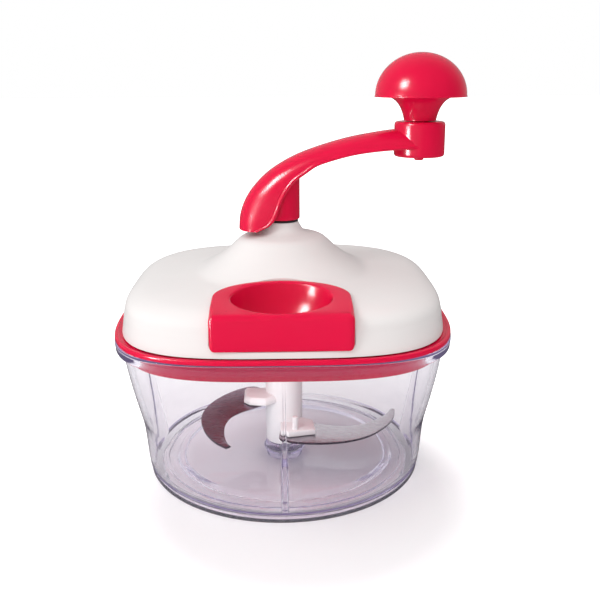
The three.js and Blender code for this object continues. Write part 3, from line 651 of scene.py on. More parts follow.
# Painted shade on the blades: a dark purple painted reflection and shade far from their centre, and
# near-black painted shade on their upright edges.
BLADE_PAINTED_SHADE = {
    "centre": (0.036, 0.017, 0.026), "reach": (0.042, 0.062), "colour": (0.24, 0.14, 0.19),
    "level": (0.3, 0.95), "edge": (0.03, 0.008, 0.018),
}
BLADE = ground_steel("blade_steel", (0.62, 0.6, 0.63), (0.2, 0.3), (1.0, 14.0, 1.0), 160.0, BLADE_PAINTED_SHADE)
STEEL = ground_steel("turned_steel", (0.6, 0.6, 0.62), (0.25, 0.35), (1.0, 1.0, 20.0), 200.0)

SLOTS = {
    "red_plastic": RED, "cover_plastic": COVER, "white_plastic": WHITE, "gear_plastic": GEAR,
    "bush_plastic": DARK, "clear_bowl": CLEAR, "blade_steel": BLADE, "steel": STEEL,
}


def dress(obj, slot, body, node):
    """Gives a new piece its finish and its body, and hides the CAD node that it stands for."""
    obj.data.materials.clear()
    obj.data.materials.append(SLOTS[slot])
    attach(obj, body)
    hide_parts(node)
    return obj


# Bowl: one closed clear shell with four fins moulded inside its wall
def flare(z):
    """How far the wall has flared at a height, from 0 at the knee to 1 at the rim."""
    share = (z - KNEE_HEIGHT) / (BOWL_HEIGHT - KNEE_HEIGHT)
    share = min(1.0, (share + math.hypot(share, KNEE_SOFTNESS)) / 2)
    return min(1.0, share * (1 + FLARE_BULGE * (1 - share)))


def wall_half(z):
    """Half width of the bowl's outside at a height."""
    knee = KNEE_FLARE * min(z, KNEE_HEIGHT) / KNEE_HEIGHT
    return BOWL_RADIUS + knee + (RIM_HALF - BOWL_RADIUS - KNEE_FLARE) * flare(z)


def wall_power(z):
    """Squareness of the bowl's plan at a height."""
    return ROUND + (RIM_POWER - ROUND) * flare(z)


def bowl_ring(half, power, z, fin=0.0):
    """Outline of the bowl with a fin standing in from the middle of each side by the depth fin. Above the
    knee the fins grow narrower, and the front one fades."""
    path = [(-y, d) for y, d in FIN_PATH] + [(0.0, 1.0)] + [(y, d) for y, d in reversed(FIN_PATH)]
    above = max(0.0, z - KNEE_HEIGHT)
    front = 1 - FRONT_FIN_FADE * min(1.0, above / FRONT_FADE_HEIGHT)
    scale = min(1.0, half / FIN_FULL_RADIUS) * (1 - FIN_TAPER * min(1.0, above / FIN_TAPER_HEIGHT))
    edge = math.asin(min(1.0, FIN_HALF / half))
    arc = np.linspace(edge, math.pi / 2 - edge, CORNER_POINTS)
    corner = [(x, y) for x, y, _ in square_ring(half, power, 0.0, arc)]
    ring = []
    for c, s in ((1, 0), (0, 1), (-1, 0), (0, -1)):
        reach = fin * (front if s == -1 else 1.0)
        side = []
        for y, d in path:
            wall = (half ** power - abs(y * scale) ** power) ** (1 / power)
            side.append((wall - d * reach, y * scale))
        ring += [(x * c - y * s, x * s + y * c, z) for x, y in side + corner]
    return ring


def fin_depth(z):
    """How far the fin stands in from the inner wall at a height above the floor."""
    start, low = FIN_START
    end, high = FIN_END
    if z < FLOOR_HEIGHT + TINY or z > high:
        return 0.0
    if z < low:
        fin = start + FIN_FOOT_DRAW * (1 - (z - FLOOR_HEIGHT) / (low - FLOOR_HEIGHT))
    else:
        fin = start + (end - start) * (z - low) / (high - low)
    return max(0.0, wall_half(z) - BOWL_WALL - fin)


def make_bowl():
    """The bowl's whole closed surface, from the middle of its underside over the lip to the pivot hole."""
    rings = []

    def add(profile):
        rings.extend(bowl_ring(radius, ROUND, z) for radius, z in rounded(profile))

    floor_under, disc_under = FLOOR_HEIGHT - BOWL_WALL, DISC_HEIGHT - BOWL_WALL
    disc_inner, groove = DISC_RADIUS - BOWL_WALL, FOOT_RADIUS - FOOT_GROOVE
    add([
        (MIDDLE_RING, 0.0), (PAD_RADIUS, 0.0, 0.4), (PAD_RADIUS + PAD_SLOPE, disc_under, 0.8),
        (disc_inner, disc_under, 0.6), (disc_inner + 0.2, floor_under, 0.6), (FOOT_INNER, floor_under, 0.6),
        (FOOT_INNER, 0.0, 0.4), (FOOT_RADIUS, 0.0, 0.9), (FOOT_RADIUS, FOOT_HEIGHT - 0.2, 0.1),
        (groove, FOOT_HEIGHT, 0.1), (groove, FOOT_HEIGHT + 0.4, 0.1),
        (BOWL_RADIUS + 0.2, FOOT_HEIGHT + 0.8, 0.3), (BOWL_RADIUS + 0.3, WALL_START),
    ])
    lip_low = BOWL_HEIGHT - LIP_HEIGHT
    for z in OUTER_LEVELS + [lip_low - 0.5]:
        rings.append(bowl_ring(wall_half(z), wall_power(z), z))
    half, low = wall_half(BOWL_HEIGHT), wall_half(lip_low)
    lip = rounded([
        (low, lip_low - 0.4), (low + 0.1, lip_low, 0.4), (low + LIP_WIDTH, lip_low, 0.6),
        (half + LIP_WIDTH, BOWL_HEIGHT, 0.8), (half - BOWL_WALL, BOWL_HEIGHT, 0.7),
        (half - BOWL_WALL - 0.1, BOWL_HEIGHT - 1.6),
    ])
    rings += [bowl_ring(r, RIM_POWER, z) for r, z in lip]
    for z in INNER_LEVELS:
        rings.append(bowl_ring(wall_half(z) - BOWL_WALL, wall_power(z), z, fin_depth(z)))
    inner = BOWL_RADIUS - BOWL_WALL + 0.4
    for t in np.radians(np.linspace(0, 90, 6)[1:]):
        reach = FLOOR_FILLET * (1 - math.cos(t))
        z = FLOOR_HEIGHT + FLOOR_FILLET * (1 - math.sin(t))
        rings.append(bowl_ring(inner - reach, ROUND, z, max(0.0, fin_depth(z) - reach)))
    ridge = FLOOR_HEIGHT + RIDGE_HEIGHT
    add([
        (FLOOR_EDGE, FLOOR_HEIGHT), (RIDGE_OUTER, FLOOR_HEIGHT, 0.3), (RIDGE_OUTER - RIDGE_SLOPE, ridge, 0.4),
        (RIDGE_INNER + RIDGE_SLOPE, ridge, 0.4), (RIDGE_INNER, FLOOR_HEIGHT, 0.3),
        (DISC_RADIUS + DISC_SLOPE, FLOOR_HEIGHT, 0.6), (DISC_RADIUS, DISC_HEIGHT, 0.7),
        *((radius, DISC_HEIGHT) for radius in DISC_RINGS), (BOSS_RADIUS, DISC_HEIGHT, 0.8),
        (BOSS_RADIUS - BOSS_SLOPE, BOSS_HEIGHT, 0.5), (PIN_HOLE, BOSS_HEIGHT, 0.1),
        (PIN_HOLE, PIN_HOLE_BOTTOM, 0.1), (MIDDLE_RING, PIN_HOLE_BOTTOM),
    ])
    return dress(loft("bowl_shell", rings, sharp=60.0), "clear_bowl", "bowl", "bowl")


# Blade unit
def make_blade(which):
    """Flat sickle with a ground cutting edge along its inner curve."""
    unit = BLADES[which]
    low, top = unit["height"], unit["height"] + BLADE_THICKNESS
    cut_low, cut_high = CUTTING_EDGE

    def edge_path(points):
        root = np.array(points[0]) / math.hypot(*points[0]) * (COLUMN_RADIUS - BLADE_SINK)
        return even_steps(np.vstack([root, np.array(spline(points, 6)) * BLADE_REACH]), BLADE_STEPS)

    rings = []
    for i, (a, b) in enumerate(zip(edge_path(BLADE_OUTER), edge_path(BLADE_INNER[::-1]))):
        width = np.linalg.norm(b - a)
        across = (b - a) / width
        opening = min(1.0, max(0.05, (i - GRIND_START) / GRIND_OPENING))
        ground = b - across * min(GRIND_WIDTH, GRIND_SHARE * width) * opening
        eased = a + across * BLADE_EDGE
        section = [
            (eased, low), (a, low + BLADE_EDGE), (a, top - BLADE_EDGE), (eased, top), (ground, top),
            (b, low + cut_high), (b, low + cut_low), (ground, low),
        ]
        rings.append([(x, y, z) for (x, y), z in section])
    blade = loft(which + "_blade_steel", rings, sharp=25.0)
    return dress(turned(blade, unit["turn"]), "blade_steel", "blade_unit", which + "_blade")


def make_holder(which):
    """Block on the column that the blade hangs from, narrowing a little towards its top."""
    unit = BLADES[which]
    seat = unit["height"] + BLADE_THICKNESS + GAP
    top = seat + unit["holder_thickness"]
    foot = np.array(unit["holder"]) * BLADE_REACH
    rings = []
    for share, z in ((1.0, seat), (1.0, (seat + top) / 2), (unit["top_share"], top)):
        plan = foot.mean(0) + (foot - foot.mean(0)) * share
        rings.append(np.column_stack([plan, np.full(len(plan), z)]))
    return turned(bevelled(loft("holder", rings), HOLDER_BEVEL), unit["turn"])


def make_column():
    """Round column with its hexagonal plug and the two blade holders."""
    shaft = lathe("shaft", [
        (0, COLUMN_BOTTOM), (COLUMN_RADIUS, COLUMN_BOTTOM, COLUMN_EDGE),
        (COLUMN_RADIUS, COLUMN_TOP, COLUMN_EDGE), (0, COLUMN_TOP),
    ])
    radius, foot = PLUG_FLATS / 2 / math.cos(math.pi / 6), COLUMN_TOP - PLUG_SINK
    plug = lathe("plug", [
        (0, foot), (radius, foot), (radius, PLUG_TOP - PLUG_CHAMFER, 0.1),
        (radius - PLUG_CHAMFER, PLUG_TOP, 0.1), (0, PLUG_TOP),
    ], count=6, sharp=20.0)
    parts = [shaft, plug, make_holder("lower"), make_holder("upper")]
    return dress(join("column_moulding", parts), "white_plastic", "blade_unit", "blade_column")


def make_rivet(which):
    """Round pin through the blade into the holder, with its head under the blade."""
    unit = BLADES[which]
    seat = unit["height"] - GAP
    top = unit["height"] + BLADE_THICKNESS + GAP + unit["holder_thickness"] + unit["rivet_end"]
    head, depth = RIVET_HEAD
    place = np.array(unit["rivet"]) * BLADE_REACH
    rivet = lathe(which + "_pin_round", [
        (0, seat - depth), (head, seat - depth, 0.5), (head, seat, 0.2), (RIVET_RADIUS, seat, 0.1),
        (RIVET_RADIUS, top, 0.8), (0, top),
    ], place, 40)
    return dress(turned(rivet, unit["turn"]), "white_plastic", "blade_unit", which + "_blade_pin")


# Lid
def make_lid_base():
    """Red ledge over the bowl's lip with the skirt inside the bowl and the bush tube."""
    low, step = FLANGE_BOTTOM + 0.5, FLANGE_TOP - LEDGE_STEP
    rim_out, rim_in = FLANGE_HALF - RAISED_RIM[0], FLANGE_HALF - RAISED_RIM[1]
    ledge = rounded([
        (LEDGE_INNER, FLANGE_BOTTOM), (FLANGE_HALF, FLANGE_BOTTOM, 0.6), (FLANGE_HALF, FLANGE_TOP - 0.2, 1.0),
        (rim_out, FLANGE_TOP, 0.6), (rim_in, step, 0.4), (LEDGE_INNER, step),
    ], 5)
    rings = [square_ring(1.0, ROUND, FLANGE_BOTTOM)]
    rings += [square_ring(r, RIM_POWER, z) for r, z in ledge]
    rings.append(square_ring(1.0, ROUND, step))
    plate = loft("plate", rings)
    inside = SKIRT_INSET + SKIRT_THICKNESS
    skirt = []
    for inset, z in rounded([
        (SKIRT_INSET, low), (SKIRT_INSET, SKIRT_BEND), (SKIRT_INSET, SKIRT_BOTTOM, 0.7),
        (inside, SKIRT_BOTTOM, 0.7), (inside, SKIRT_BEND), (inside, low),
    ]):
        level = min(z, BOWL_HEIGHT)
        skirt.append(square_ring(wall_half(level) - inset, wall_power(level), z))
    tube = lathe("tube", [
        (TUBE_BORE, TUBE_BOTTOM, 0.3), (TUBE_OUTER, TUBE_BOTTOM, 0.5), (TUBE_OUTER, low), (TUBE_BORE, low),
    ])
    below, above = FLANGE_BOTTOM - OVERRUN, FLANGE_TOP + OVERRUN
    for radius, centre, count in ((SPOUT_HOLE, (0.0, DISH_CENTRE), 48), (TUBE_BORE, (0.0, 0.0), 96)):
        hole = lathe("hole", [(0, below), (radius, below), (radius, above), (0, above)], centre, count)
        plate = cut(plate, hole)
    base = join("lid_base_moulding", [plate, loft("skirt", skirt, closed=True), tube])
    return dress(base, "red_plastic", "lid", "lid_base")


def cover_power(half):
    """Squareness of the cover's plan where its outline has this half width."""
    widest, narrowest = COVER_PROFILE[0][0], COVER_PROFILE[-1][0]
    share = max(0.0, (half - narrowest) / (widest - narrowest))
    return ROUND + (RIM_POWER - ROUND) * share ** COVER_ROUNDING


def funnel_outline(grow, corner=2.0, steps=224):
    """Even points round the funnel's plan, flat at the front and oval at the back, counter-clockwise."""
    half, front, back = FUNNEL_HALF + grow, FUNNEL_FRONT - grow, FUNNEL_BACK + grow
    points = []
    for t in np.radians(np.linspace(-90, 0, 12)):
        points.append((half - corner + corner * math.cos(t), front + corner + corner * math.sin(t)))
    for t in np.radians(np.linspace(0, 180, 60)):
        points.append((half * math.cos(t), FUNNEL_CENTRE + back * abs(math.sin(t))))
    for t in np.radians(np.linspace(180, 270, 12)):
        points.append((-half + corner + corner * math.cos(t), front + corner + corner * math.sin(t)))
    points.append(points[0])
    return even_steps(np.array(points) + (FUNNEL_SHIFT, 0.0), steps + 1)[:-1]


def corner_rise(outline, rise, length, depth):
    """How much the lower edge lifts at the funnel's rounded front corners, within a depth of its front."""
    share = np.clip((np.abs(outline[:, 0] - FUNNEL_SHIFT) - (FUNNEL_HALF - FUNNEL_CORNER)) / length, 0, 1)
    return rise * (1 - np.sqrt(1 - share ** 2)) * (outline[:, 1] < FUNNEL_FRONT + depth)


def window_cutter():
    """Block that opens the cover for the funnel, with rounded lower front corners."""
    loop = funnel_outline(GAP, 1.0, 160)
    loop[loop[:, 1] < FUNNEL_FRONT + WINDOW_FRONT, 1] -= WINDOW_FRONT
    rise = corner_rise(loop, WINDOW_RISE, FUNNEL_CORNER + GAP, WINDOW_DEPTH)
    rings = []
    for z, lift in ((FUNNEL_BOTTOM - GAP, 1.0), (FUNNEL_BOTTOM + FUNNEL_CORNER, 0.0), (WINDOW_TOP, 0.0)):
        rings.append(np.column_stack([loop, z + lift * rise]))
    return loft("window", rings)


def make_cover():
    """White domed shell with the window for the funnel. Its foot is drawn in at both sides."""
    outer = spline(COVER_PROFILE, 4)
    rings = [square_ring(r, cover_power(r), z) for r, z in outer]
    rings += [square_ring(r, ROUND, z) for r, z in rounded([
        (COVER_PROFILE[-1][0], NECK_TOP), (NECK_BORE + 0.3, NECK_TOP, 0.2), (NECK_BORE, NECK_TOP - 0.8),
        (NECK_BORE, NECK_TUBE_BOTTOM), (NECK_TUBE, NECK_TUBE_BOTTOM), (NECK_TUBE, NECK_TUBE_TOP),
    ])[1:]]
    under = []
    for i in range(1, len(outer) - 1):
        along = np.array(outer[i + 1]) - np.array(outer[i - 1])
        along /= np.linalg.norm(along)
        point = np.array(outer[i]) + COVER_WALL * np.array([-along[1], along[0]])
        if point[0] > NECK_TUBE + 2 and point[1] > COVER_BOTTOM + 0.5:
            under.append(tuple(point))
    rings += [square_ring(r, cover_power(r), z) for r, z in reversed(under)]
    rings.append(square_ring(COVER_PROFILE[0][0] - COVER_WALL, RIM_POWER, COVER_BOTTOM))
    for ring in rings:
        low = np.clip((COVER_BOTTOM + COVER_DRAW_HEIGHT - ring[:, 2]) / COVER_DRAW_HEIGHT, 0, 1)
        ring[:, 0] *= 1 - COVER_SIDE_DRAW * low
    shell = loft("cover_shell", rings, closed=True)
    return dress(cut(shell, window_cutter(), 40.0), "cover_plastic", "lid", "cover")


def make_neck_bush():
    """Dark bush with its thin flange on the neck."""
    bore, outer, flange = BUSH
    bottom, low, high = BUSH_LEVELS
    bush = lathe("neck_bush_round", [
        (bore, bottom, 0.1), (outer, bottom, 0.2), (outer, low, 0.1), (flange, low, 0.2), (flange, high, 0.2),
        (bore, high, 0.1),
    ])
    return dress(bush, "bush_plastic", "lid", "neck_bush")


# Feed funnel
def inset(loop, distance):
    """A closed plan outline moved inwards."""
    along = np.roll(loop, -1, 0) - np.roll(loop, 1, 0)
    along /= np.linalg.norm(along, axis=1)[:, None]
    inward = np.stack([-along[:, 1], along[:, 0]], 1)
    return loop + inward * np.reshape(distance, (-1, 1))


def funnel_level(points):
    """Height of the sloping top face."""
    return FUNNEL_FRONT_TOP + FUNNEL_SLOPE * (points[:, 1] - FUNNEL_FRONT)


def make_funnel():
    """Red block with an oval dish that drains into a spout, hollow underneath."""
    outline = funnel_outline(0.0)
    centre = np.array([FUNNEL_SHIFT, DISH_CENTRE])
    away = outline - centre
    angles = np.arctan2(away[:, 1], away[:, 0])
    circle = np.stack([np.cos(angles), np.sin(angles)], 1)
    squashed = np.sqrt(np.cos(angles) ** 2 + (np.sin(angles) / DISH_SQUASH) ** 2)
    oval = circle * DISH_HALF / squashed[:, None]
    dish_bottom = funnel_level(centre[None])[0] - DISH_DEPTH

    def at(points, z):
        return np.column_stack([points, np.broadcast_to(z, len(points))])

    spout = (
        (SPOUT_WALL, SPOUT_BOTTOM), (0.3, SPOUT_BOTTOM), (0.0, SPOUT_BOTTOM + 0.4), (0.0, dish_bottom - 1.5),
    )
    rings = [at(centre + circle * (SPOUT_RADIUS + out), z) for out, z in spout]
    for out, down in spline(DISH_CURVE, 4):
        points = centre + oval * out
        if out < DISH_BLEND:
            points = centre + (oval * 0.5 + circle * DISH_HALF * 0.45) * out
        rings.append(at(points, funnel_level(points) - DISH_DEPTH * down))
    for out, drop in DISH_LIP:
        points = centre + oval * out
        rings.append(at(points, funnel_level(points) - drop))
    rim = centre + oval * DISH_RIM
    near, far = FRONT_BAND
    front = np.clip((FUNNEL_FRONT + far - outline[:, 1]) / (far - near), 0, 1)
    shoulder = inset(outline, SHOULDER[0] + SHOULDER[1] * front)
    reach = np.linalg.norm(shoulder - centre, axis=1)
    least = RIM_SHARE * np.linalg.norm(rim - centre, axis=1) + (1 - RIM_SHARE) * np.linalg.norm(away, axis=1)
    shoulder = centre + (shoulder - centre) * (np.maximum(reach, least) / reach)[:, None]
    halfway = (rim + shoulder) / 2
    rings.append(at(halfway, funnel_level(halfway)))
    drop = np.linalg.norm(outline - shoulder, axis=1)
    for t in np.radians(np.linspace(0, 90, 7)):
        points = shoulder + (outline - shoulder) * math.sin(t)
        rings.append(at(points, funnel_level(shoulder) - drop * (1 - math.cos(t)) * 1.05))
    bottom = FUNNEL_BOTTOM + corner_rise(outline, FUNNEL_RISE, FUNNEL_CORNER, FUNNEL_DEPTH)
    rings.append(at(outline, bottom + FUNNEL_EDGE + 2))
    for t in np.radians((0, 45, 90)):
        eased = inset(outline, (1 - math.cos(t)) * FUNNEL_EDGE)
        rings.append(at(eased, bottom + FUNNEL_EDGE * (1 - math.sin(t))))
    inside = inset(outline, FUNNEL_WALL)
    inside_top = funnel_level(inside) - FUNNEL_TOP_WALL - 1.2 * front
    rings += [at(inside, bottom), at(inside, inside_top)]
    limit = np.linalg.norm(inside - centre, axis=1) - 0.05
    for out, down in DISH_UNDERSIDE:
        reach = np.linalg.norm(oval * out, axis=1)
        points = centre + oval * out * np.minimum(1.0, limit / reach)[:, None]
        rings.append(at(points, np.minimum(funnel_level(points) - DISH_DEPTH * down, inside_top - 0.1)))
    rings.append(at(centre + circle * (SPOUT_RADIUS + SPOUT_WALL), dish_bottom - 2.5))
    funnel = loft("funnel_moulding", rings, closed=True, sharp=50.0)
    return dress(funnel, "red_plastic", "funnel", "feed_funnel")


# Crank arm
def arm_curve(shares):
    """Curve in the crank's plane from shares along and up."""
    length = CRANK_REACH - ARM_START
    points = [(ARM_START + along * length, ARM_FOOT + up * ARM_RISE) for along, up in shares]
    return np.array(spline(points, 5))


def arm_section(half, depth, wall):
    """Channel section of (side, rise): its outer half from the lowest point of one lip to that of the other,
    then its inner half back. Each lip carries a half-round bead."""
    bend = 2 / ARM_POWER

    def arch(width, height, clear, count):
        start = math.asin(min(1.0, (clear / height) ** (1 / bend)))
        return [
            (math.copysign(abs(math.cos(t)) ** bend, math.cos(t)) * width, math.sin(t) ** bend * height)
            for t in np.linspace(start, math.pi - start, count)
        ]

    bead = (wall + ARM_BEAD) / 2
    middle = half + ARM_BEAD - bead
    lip = [
        (middle + bead * math.cos(a), BEAD_LEVEL + BEAD_HALF * math.sin(a))
        for a in np.radians(np.linspace(*BEAD_ARC))
    ]
    lip_inside, lip_outside = lip[:BEAD_INSIDE], lip[BEAD_INSIDE:]
    outside = arch(half, depth, ARCH_START[0], ARCH_POINTS)
    inside_points = ARCH_POINTS + 2 * (len(lip_outside) - len(lip_inside))
    inside = arch(half - wall, depth - wall, ARCH_START[1], inside_points)
    outer = lip_outside + outside + [(-x, y) for x, y in reversed(lip_outside)]
    inner = [(-x, y) for x, y in reversed(lip_inside)] + list(reversed(inside)) + lip_inside
    return outer + inner


def make_post(crest):
    """Square-socketed round post that rises into the arm, under its crest."""
    angles = even_angles(POST_POINTS)
    around = np.stack([np.cos(angles), np.sin(angles)], 1)

    def flat(radius, z):
        return np.column_stack([around * np.reshape(radius, (-1, 1)), np.broadcast_to(z, POST_POINTS)])

    def roof(radius, below):
        return flat(radius, np.interp(around[:, 0] * radius, crest[:, 0], crest[:, 1]) - below)

    socket = POST_SOCKET / np.abs(around).max(1)
    rings = [flat(socket, SOCKET_TOP), flat(socket, POST_BOTTOM)]
    rings += [flat(POST_RADIUS + out, POST_BOTTOM + up) for out, up in POST_SIDE]
    return loft("post", rings + [roof(POST_RADIUS * share, below) for share, below in POST_ROOF])


def make_arm():
    """Crank arm: swept channel, the post under it and the knob boss at its end."""
    crest, lip = arm_curve(ARM_CREST), arm_curve(ARM_LIP)

    def ring(t, shrink=0.0):
        step = min(int(t), len(crest) - 2)
        high = crest[step] + (crest[step + 1] - crest[step]) * (t - step)
        low = lip[step] + (lip[step + 1] - lip[step]) * (t - step)
        depth = np.linalg.norm(high - low)
        up = (high - low) / depth
        return [
            (low[0] + up[0] * rise, side, low[1] + up[1] * rise)
            for side, rise in arm_section(ARM_HALF - shrink, depth - shrink, ARM_WALL - shrink)
        ]

    rings = [ring(*place) for place in ARM_NOSE] + [ring(t) for t in range(1, len(crest))]
    channel = loft("channel", rings, sharp=50.0, channel=True)
    bore, floor = AXLE_RADIUS + GAP, BOSS_BOTTOM + BOSS_FLOOR
    boss = lathe("boss", [
        (bore, floor), (bore, BOSS_TOP, 0.4), (BOSS_OUTER, BOSS_TOP, BOSS_EDGE),
        (BOSS_OUTER, BOSS_BOTTOM, BOSS_EDGE), (RIVET_HOLE, BOSS_BOTTOM, 0.2), (RIVET_HOLE, floor),
        (RIVET_HOLE + 0.4, floor),
    ], KNOB_AXIS, 128, steps=6)
    arm = join("crank_arm_moulding", [channel, make_post(crest), boss], 50.0)
    return dress(arm, "red_plastic", "crank", "crank_arm")


# Knob
def make_stem():
    """Trumpet-shaped stem with its axle in the boss."""
    low = BOSS_TOP + GAP
    width = STEM_TOP_RADIUS - STEM_RADIUS
    flared = spline([(STEM_RADIUS + out * width, low + up * STEM_HEIGHT) for out, up in STEM_FLARE], 4)
    floor, top = BOSS_BOTTOM + BOSS_FLOOR + GAP, low + STEM_HEIGHT + STEM_PLATE
    profile = [(0, floor), (AXLE_RADIUS, floor), (AXLE_RADIUS, low - 0.05), (STEM_RADIUS - 0.4, low)]
    profile += flared[1:] + [(STEM_TOP_RADIUS, top), (0, top)]
    stem = lathe("knob_stem_moulding", profile, KNOB_AXIS, 128)
    return dress(stem, "red_plastic", "knob", "knob_stem")


def make_cap():
    """Half-round palm cap with a fine lip and a recess for the stem."""
    rim = BOSS_TOP + GAP + STEM_HEIGHT
    recess, seat = rim + STEM_PLATE + 0.5, STEM_TOP_RADIUS + GAP
    lip, lip_top = DOME_RADIUS + DOME_LIP[0], rim + DOME_LIP[1]
    dome = [
        (DOME_RADIUS * math.cos(t), lip_top + (DOME_RISE - DOME_LIP[1]) * math.sin(t))
        for t in np.linspace(0.03, math.pi / 2, 32)[:-1]
    ]
    profile = [
        (0, recess), (seat, recess), (seat, rim + 0.2), (seat + 0.2, rim), (seat + 1, rim), (lip, rim, 0.25),
        (lip, lip_top - 0.25, 0.2), (DOME_RADIUS, lip_top), *dome, (0, rim + DOME_RISE),
    ]
    cap = lathe("knob_cap_moulding", profile, KNOB_AXIS, 160, 40.0)
    return dress(cap, "red_plastic", "knob", "knob_cap")


def make_knob_rivet():
    """Small round nub under the boss that holds the stem."""
    head, shank, length = KNOB_RIVET
    seat = BOSS_BOTTOM - GAP
    rivet = lathe("knob_rivet_round", [
        (0, seat - RIVET_NUB), (head, seat - RIVET_NUB, 1.2), (head, seat, 0.1), (shank, seat, 0.1),
        (shank, seat + length, 0.2), (0, seat + length),
    ], KNOB_AXIS, 40)
    return dress(rivet, "red_plastic", "knob", "knob_rivet")


# Floor, light and camera, in metres
FLOOR_HALF = 6.0
SHADOW_CENTRE = (0.01, -0.05, 0.0)
# Two strengths, and the two distances or directions that have them
FLOOR_GLOW = (0.12, 0.86, 0.065, 0.125)
AMBIENT = (0.30, 1.12, -0.4, 0.8)
GLOSS_LIGHT = (0.05, 0.6, -0.2, 0.5)
GLOW_THROUGH_GLASS = 0.4
LIGHT_FROM = (-0.33, -0.18, 0.93)
MIDDLE = (0.0, 0.0, 0.1)
COLUMN_MIDDLE = (0.01, 0.0, 0.03)
FRONT_LEFT = (-0.80, -0.58, 0.79)
LAMPS = [
    # place, aim, width and height, watts, what it is for
    (FRONT_LEFT, MIDDLE, (0.28, 0.44), 3.9, "light"),
    ((-0.30, -1.00, 0.12), MIDDLE, (0.7, 0.2), 1.1, "light"),
    (FRONT_LEFT, MIDDLE, (0.3, 0.42), 36.0, "gloss"),
    ((-0.45, -0.29, 0.095), MIDDLE, (0.12, 0.19), 6.8, "gloss"),
    (FRONT_LEFT, MIDDLE, (0.3, 0.42), 7.5, "glass"),
    ((-0.25, -0.50, 0.02), MIDDLE, (0.3, 0.1), 0.3, "red"),
    ((-0.02, -0.06, 0.07), COLUMN_MIDDLE, (0.04, 0.03), 0.026, "column"),
]


def seen_through_glass(graph, through=1.0):
    """One for the camera's view, and the share through for what it sees through the clear plastic."""
    path = graph.add("LightPath").outputs
    return graph.calculate("MULTIPLY_ADD", path["Is Transmission Ray"], through, path["Is Camera Ray"])


def floor_material():
    """Pale with a soft gloss, fading to plain white away from the object. Glossy pieces see it dim."""
    material, graph, shader = new_material("floor_white")
    cloud = graph.blend(graph.spread(graph.noise(9.0)), (0.83, 0.82, 0.83), (0.84, 0.83, 0.84))
    graph.link(cloud, shader.inputs["Base Color"])
    preset(shader, {"Roughness": 0.3, "Specular IOR Level": 0.1})
    away = graph.measure("DISTANCE", graph.place["Object"], SHADOW_CENTRE)
    bright = graph.spread(away, *FLOOR_GLOW, "SMOOTHSTEP")
    glow, dim = graph.add("Emission"), preset(graph.add("BsdfDiffuse"), {"Color": (0.12, 0.12, 0.12, 1.0)})
    seen = seen_through_glass(graph, GLOW_THROUGH_GLASS)
    graph.link(graph.calculate("MULTIPLY", bright, seen), glow.inputs["Strength"])
    lit = graph.mix(shader, glow)
    path = graph.add("LightPath").outputs
    mirrored = graph.calculate("SUBTRACT", path["Is Glossy Ray"], path["Is Transmission Ray"], clamp=True)
    surface = graph.mix(lit, dim, mirrored)
    graph.link(surface.outputs[0], graph.nodes["Material Output"].inputs["Surface"])
    return material


def make_floor():
    """Wide flat floor."""
    mesh = bpy.data.meshes.new("floor")
    corners = [(x * FLOOR_HALF, y * FLOOR_HALF, 0) for x, y in ((-1, -1), (1, -1), (1, 1), (-1, 1))]
    mesh.from_pydata(corners, [], [(0, 1, 2, 3)])
    mesh.materials.append(floor_material())
    floor = placed("floor", mesh)


def make_world():
    """Soft light, strongest from the front left. The camera and the glass see white, gloss a dim room."""
    world = bpy.data.worlds.new("studio")
    bpy.context.scene.world = world
    graph = Graph(world)
    ambient, white, gloss = graph.nodes["Background"], graph.add("Background"), graph.add("Background")
    for background in (ambient, white):
        preset(background, {"Color": (1.0, 1.0, 1.0, 1.0)})
    direction = graph.place["Generated"]
    facing = graph.measure("DOT_PRODUCT", direction, LIGHT_FROM)
    graph.link(graph.spread(facing, *AMBIENT), ambient.inputs["Strength"])
    graph.link(graph.spread(graph.part(direction, "Y"), *GLOSS_LIGHT), gloss.inputs["Strength"])
    mirrored = graph.add("LightPath").outputs["Is Glossy Ray"]
    room = graph.mix(ambient, gloss, mirrored)
    view = graph.mix(room, white, seen_through_glass(graph))
    graph.link(view.outputs[0], graph.nodes["World Output"].inputs["Surface"])


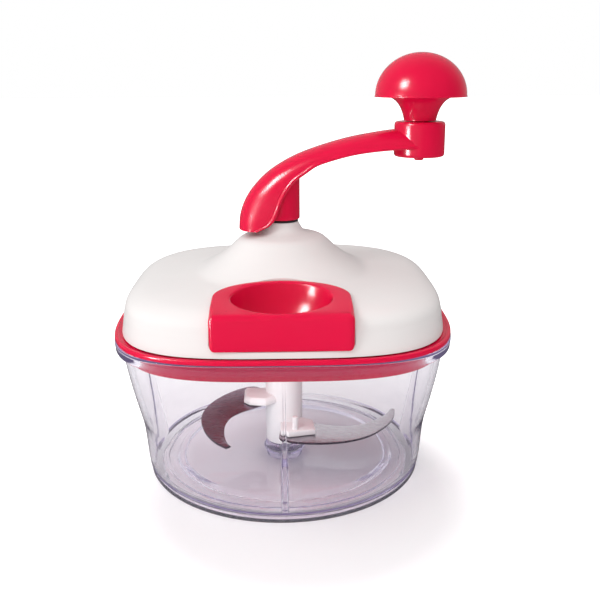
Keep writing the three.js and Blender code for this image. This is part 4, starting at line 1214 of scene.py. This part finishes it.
def make_lamps():
    """Soft boxes. Two light everything. The others are for the gloss of the red pieces and of the glass, for
    the red pieces' fronts and for the white column."""
    receivers = {}
    for use, finish in (("gloss", RED), ("red", RED), ("glass", CLEAR), ("column", WHITE)):
        receivers[use] = bpy.data.collections.new("lit_as_" + use)
        for obj in bpy.context.scene.objects:
            if obj.type == "MESH" and finish.name in obj.data.materials:
                receivers[use].objects.link(obj)
    for place, aim, size, watts, use in LAMPS:
        lamp = bpy.data.lights.new("soft_box", "AREA")
        lamp.shape = "RECTANGLE"
        lamp.size, lamp.size_y = size
        lamp.energy = watts
        obj = placed("soft_box", lamp)
        obj.location = place
        obj.rotation_euler = (Vector(aim) - Vector(place)).to_track_quat("-Z", "Y").to_euler()
        obj.visible_camera = obj.visible_transmission = False
        obj.visible_glossy = use in ("gloss", "glass")
        obj.visible_diffuse = not obj.visible_glossy
        if use in receivers:
            obj.light_linking.receiver_collection = receivers[use]


# The camera stands 415 mm in front of the axis at the height of the knob and looks slightly down
CAMERA_PLACE = (0.0, -0.4146, 0.2113)
CAMERA_DOWN = 14.13
CAMERA_YAW = 1.28
CAMERA_ROLL = -0.27
FOCAL_PIXELS = 793.16
FRAME_PIXELS = 600
OPTICAL_ROW = 270
SENSOR_WIDTH = 36.0


def make_camera():
    """Camera at the photograph's viewing angle."""
    down, yaw, roll = (math.radians(v) for v in (CAMERA_DOWN, CAMERA_YAW, CAMERA_ROLL))
    right = Vector((math.cos(yaw), -math.sin(yaw), 0.0))
    ahead = Vector((math.sin(yaw) * math.cos(down), math.cos(yaw) * math.cos(down), -math.sin(down)))
    up = right.cross(ahead)
    right_rolled = right * math.cos(roll) + up * math.sin(roll)
    up_rolled = up * math.cos(roll) - right * math.sin(roll)
    camera = bpy.data.cameras.new("camera")
    camera.sensor_width = SENSOR_WIDTH
    camera.lens = SENSOR_WIDTH * FOCAL_PIXELS / FRAME_PIXELS
    camera.shift_y = (OPTICAL_ROW - FRAME_PIXELS / 2) / FRAME_PIXELS
    obj = placed("camera", camera)
    facing = Matrix((right_rolled, up_rolled, -ahead)).transposed().to_4x4()
    obj.matrix_world = Matrix.Translation(CAMERA_PLACE) @ facing
    bpy.context.scene.camera = obj


def dress_frame():
    """Gives every CAD node the finish of its slot."""
    for part in frame["record"]["subparts"]:
        node = frame["nodes"][part["node"]]
        node.data.materials.clear()
        node.data.materials.append(SLOTS[part["material_slot"]])


dress_frame()
make_bowl()
make_column()
for each in BLADES:
    make_blade(each)
    make_rivet(each)
make_lid_base()
make_cover()
make_neck_bush()
make_funnel()
make_arm()
make_stem()
make_cap()
make_knob_rivet()
make_floor()
make_world()
make_lamps()
make_camera()
bpy.context.scene.view_settings.view_transform = "Standard"
